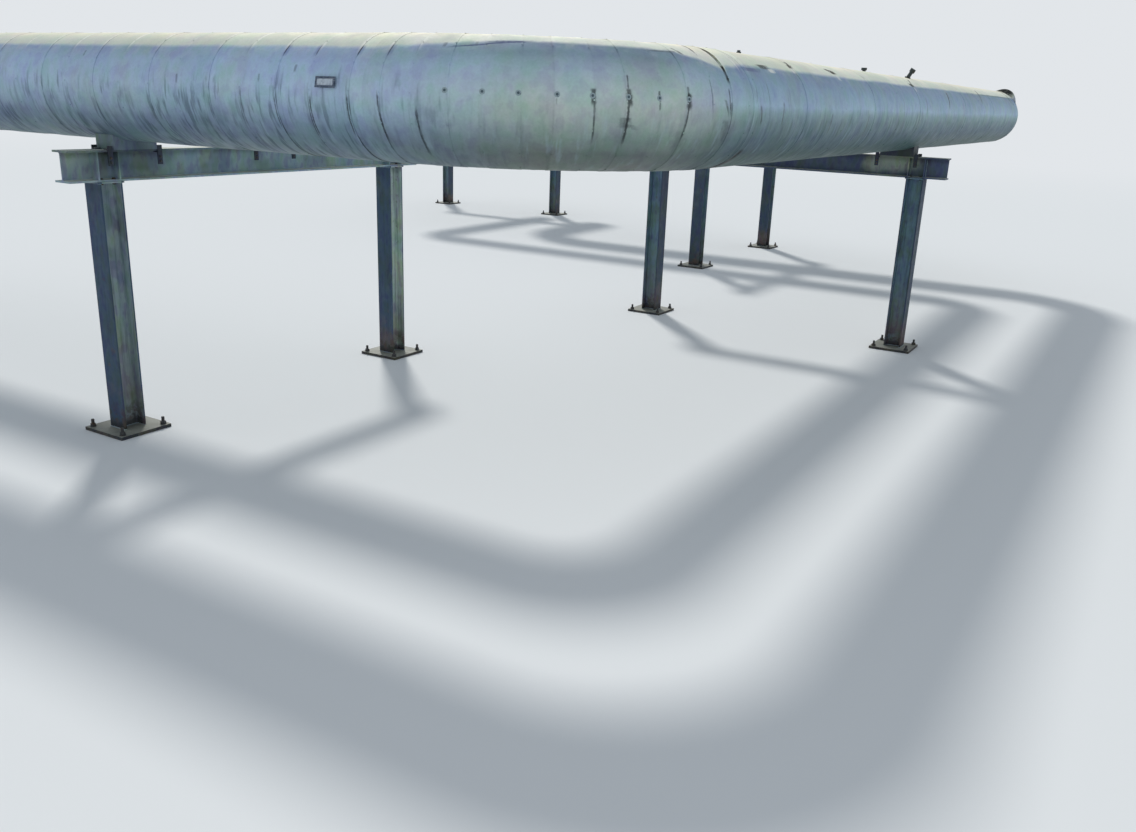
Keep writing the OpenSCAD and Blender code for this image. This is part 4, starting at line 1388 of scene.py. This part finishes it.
def anchor_studs(finish):
    """Threaded studs with a washer and a hexagon nut, four to a base plate."""
    t = Pattern("anchor_studs", Stud_radius=bolt_r, Stud_low=0.001, Stud_top=base_t + bolt_h,
                Plate=base_t, Washer_radius=bolt_r * 1.9, Washer_height=0.004,
                Nut_radius=bolt_r * 1.73, Nut_height=bolt_r * 1.6, Pitch=thread_pitch,
                Ridge=thread_ridge, Finish=finish)
    size = t.given
    shoulder = t.sum("SUBTRACT", size["Stud top"], chamfer)
    washer_top = t.sum("ADD", size["Plate"], size["Washer height"])
    nut_top = t.sum("ADD", washer_top, size["Nut height"])
    nut_rim = t.sum("SUBTRACT", nut_top, chamfer)
    core = t.sum("SUBTRACT", size["Stud radius"], size["Ridge"])
    rise = t.sum("SUBTRACT", shoulder, nut_top)
    thread = t.add("GeometryNodeCurveSpiral", {
        "Resolution": 10, "Rotations": t.sum("DIVIDE", rise, size["Pitch"]),
        "Start Radius": core, "End Radius": core, "Height": rise})
    ridge = t.add("GeometryNodeCurvePrimitiveCircle", {"Resolution": 3, "Radius": size["Ridge"]},
                  mode="RADIUS")
    coil = t.add("GeometryNodeCurveToMesh", {
        "Curve": thread, "Profile Curve": ridge, "Fill Caps": True})
    solids = [
        t.drum(16, size["Stud radius"], size["Stud low"], nut_top),
        t.drum(16, core, nut_top, shoulder),
        t.drum(16, core, shoulder, size["Stud top"], 0.82),
        t.drum(18, size["Washer radius"], t.sum("SUBTRACT", size["Plate"], 0.0005), washer_top),
        t.drum(6, size["Nut radius"], washer_top, nut_rim),
        t.drum(6, size["Nut radius"], nut_rim, nut_top, 0.93), t.raised(coil, nut_top)]
    t.end(t.stand(t.join(solids), 5))
    places = [on_bent(*corner, 0.0) for corner in square(bolt_gap / 2)]
    show(t.grow("anchor_studs", point_mesh("anchor_studs", places)), None, "anchor_steel",
         "anchor_bolts")


def post_seams():
    """Closed lines round the feet and the heads of the posts, along their H outline."""
    d, b = post_d / 2, post_b / 2
    in_d, web = d - post_flange_t, post_web_t / 2
    outline = [(-d, -b), (-in_d, -b), (-in_d, -web), (in_d, -web), (in_d, -b), (d, -b),
               (d, b), (in_d, b), (in_d, web), (-in_d, web), (-in_d, b), (-d, b)]
    return [[on_bent(bent, post + x, y, z)[:3] for x, y in outline]
            for bent in bents for post in (0, post_gap) for z in (base_t, post_h - cap_t)]


def stiffener_seams():
    """Lines round both faces of each stiffener, from flange to web to flange."""
    low, high = post_h + beam_flange_t, bent_h - beam_flange_t
    over_flange = (post_d - post_flange_t) / 2
    seams = []
    for bent in bents:
        for post in (0, post_gap):
            for plate in (-over_flange, over_flange):
                for face in (-stiffener_t / 2, stiffener_t / 2):
                    for side in (-1, 1):
                        reach = side * (beam_b / 2 - weld_setback)
                        root = side * beam_web_t / 2
                        seams.append([on_bent(bent, post + plate + face, y, z)[:3] for y, z in (
                            (reach, low), (root, low), (root, high), (reach, high))])
    return seams


def weld_beads(name, lines, closed, finish):
    """A lumpy bead of weld along each line."""
    t = Pattern(name, Bead=weld_bead, Spacing=weld_spacing, Ripple=weld_ripple, Sides=6,
                Finish=finish)
    size = t.given
    curve = t.add("GeometryNodeMeshToCurve", {"Mesh": size["Geometry"]})
    curve = t.add("GeometryNodeResampleCurve", {
        "Curve": curve, "Length": size["Spacing"]}, mode="LENGTH")
    ring = t.add("GeometryNodeCurvePrimitiveCircle", {
        "Resolution": size["Sides"], "Radius": size["Bead"]}, mode="RADIUS")
    lumps = t.noise(t.add("GeometryNodeInputPosition"), 90.0, 2.0, 0.6)
    swell = t.sum("MULTIPLY_ADD", t.sum("SUBTRACT", lumps, 0.5),
                  t.times(size["Ripple"], 2.0), 1.0)
    t.end(t.add("GeometryNodeCurveToMesh", {
        "Curve": curve, "Profile Curve": ring, "Scale": swell, "Fill Caps": True}))
    show(t.grow(name, line_mesh(name, lines, closed)), None, "beam_paint")


def cap_bolt_places():
    """Heads on top of the beams' lower flanges, and nuts under the posts' cap plates."""
    heads = [on_bent(*corner, post_h + beam_flange_t) for corner in square(cap_bolt_at)]
    nuts = [on_bent(*corner, post_h - cap_t, (0, 0, -1)) for corner in square(cap_bolt_at)]
    return heads + nuts


def clip_bolt_places():
    """Two on each hold-down clip, one over the other."""
    return [on_bent(bent, post_out + pipe.in_by + along, face * (beam_b / 2 + clip_t),
                    bent_h - drop, (0, face, 0))
            for bent in bents for pipe in (outer, inner)
            for along in (-clip_bolt_at, clip_bolt_at)
            for face in (-1, 1) for drop in clip_bolt_drops]


def fasten(jackets, screws, plugs, beam, steel):
    """Everything that holds the bridge together."""
    for name, places in screws.items():
        headed(f"{name}_lap_screws", places, jackets.plain, "jacket_sheet", lap_screw, 11)
    plug_buttons(plugs, (
        rusty_steel("washer_zinc", rgb(146, 164, 170), rgb(120, 134, 140), 0.15),
        rusty_steel("plug_cap", rgb(70, 90, 98), rgb(72, 78, 80), 0.30)))
    anchor_studs(steel)
    headed("cap_bolts", cap_bolt_places(), steel, "fitting_steel", cap_bolt, 21)
    headed("clip_bolts", clip_bolt_places(), steel, "fitting_steel", clip_bolt, 22)
    weld_beads("post_welds", post_seams(), True, beam)
    weld_beads("stiffener_welds", stiffener_seams(), False, beam)


place_camera()
bpy.context.scene.view_settings.view_transform = "Standard"
hang_lights()
lay_floor()
sheet_finishes = JacketFinishes()
lap_screws, gore_plugs = make_jackets(sheet_finishes)
weld_paint, bolt_steel = dress_steel()
fasten(sheet_finishes, lap_screws, gore_plugs, weld_paint, bolt_steel)
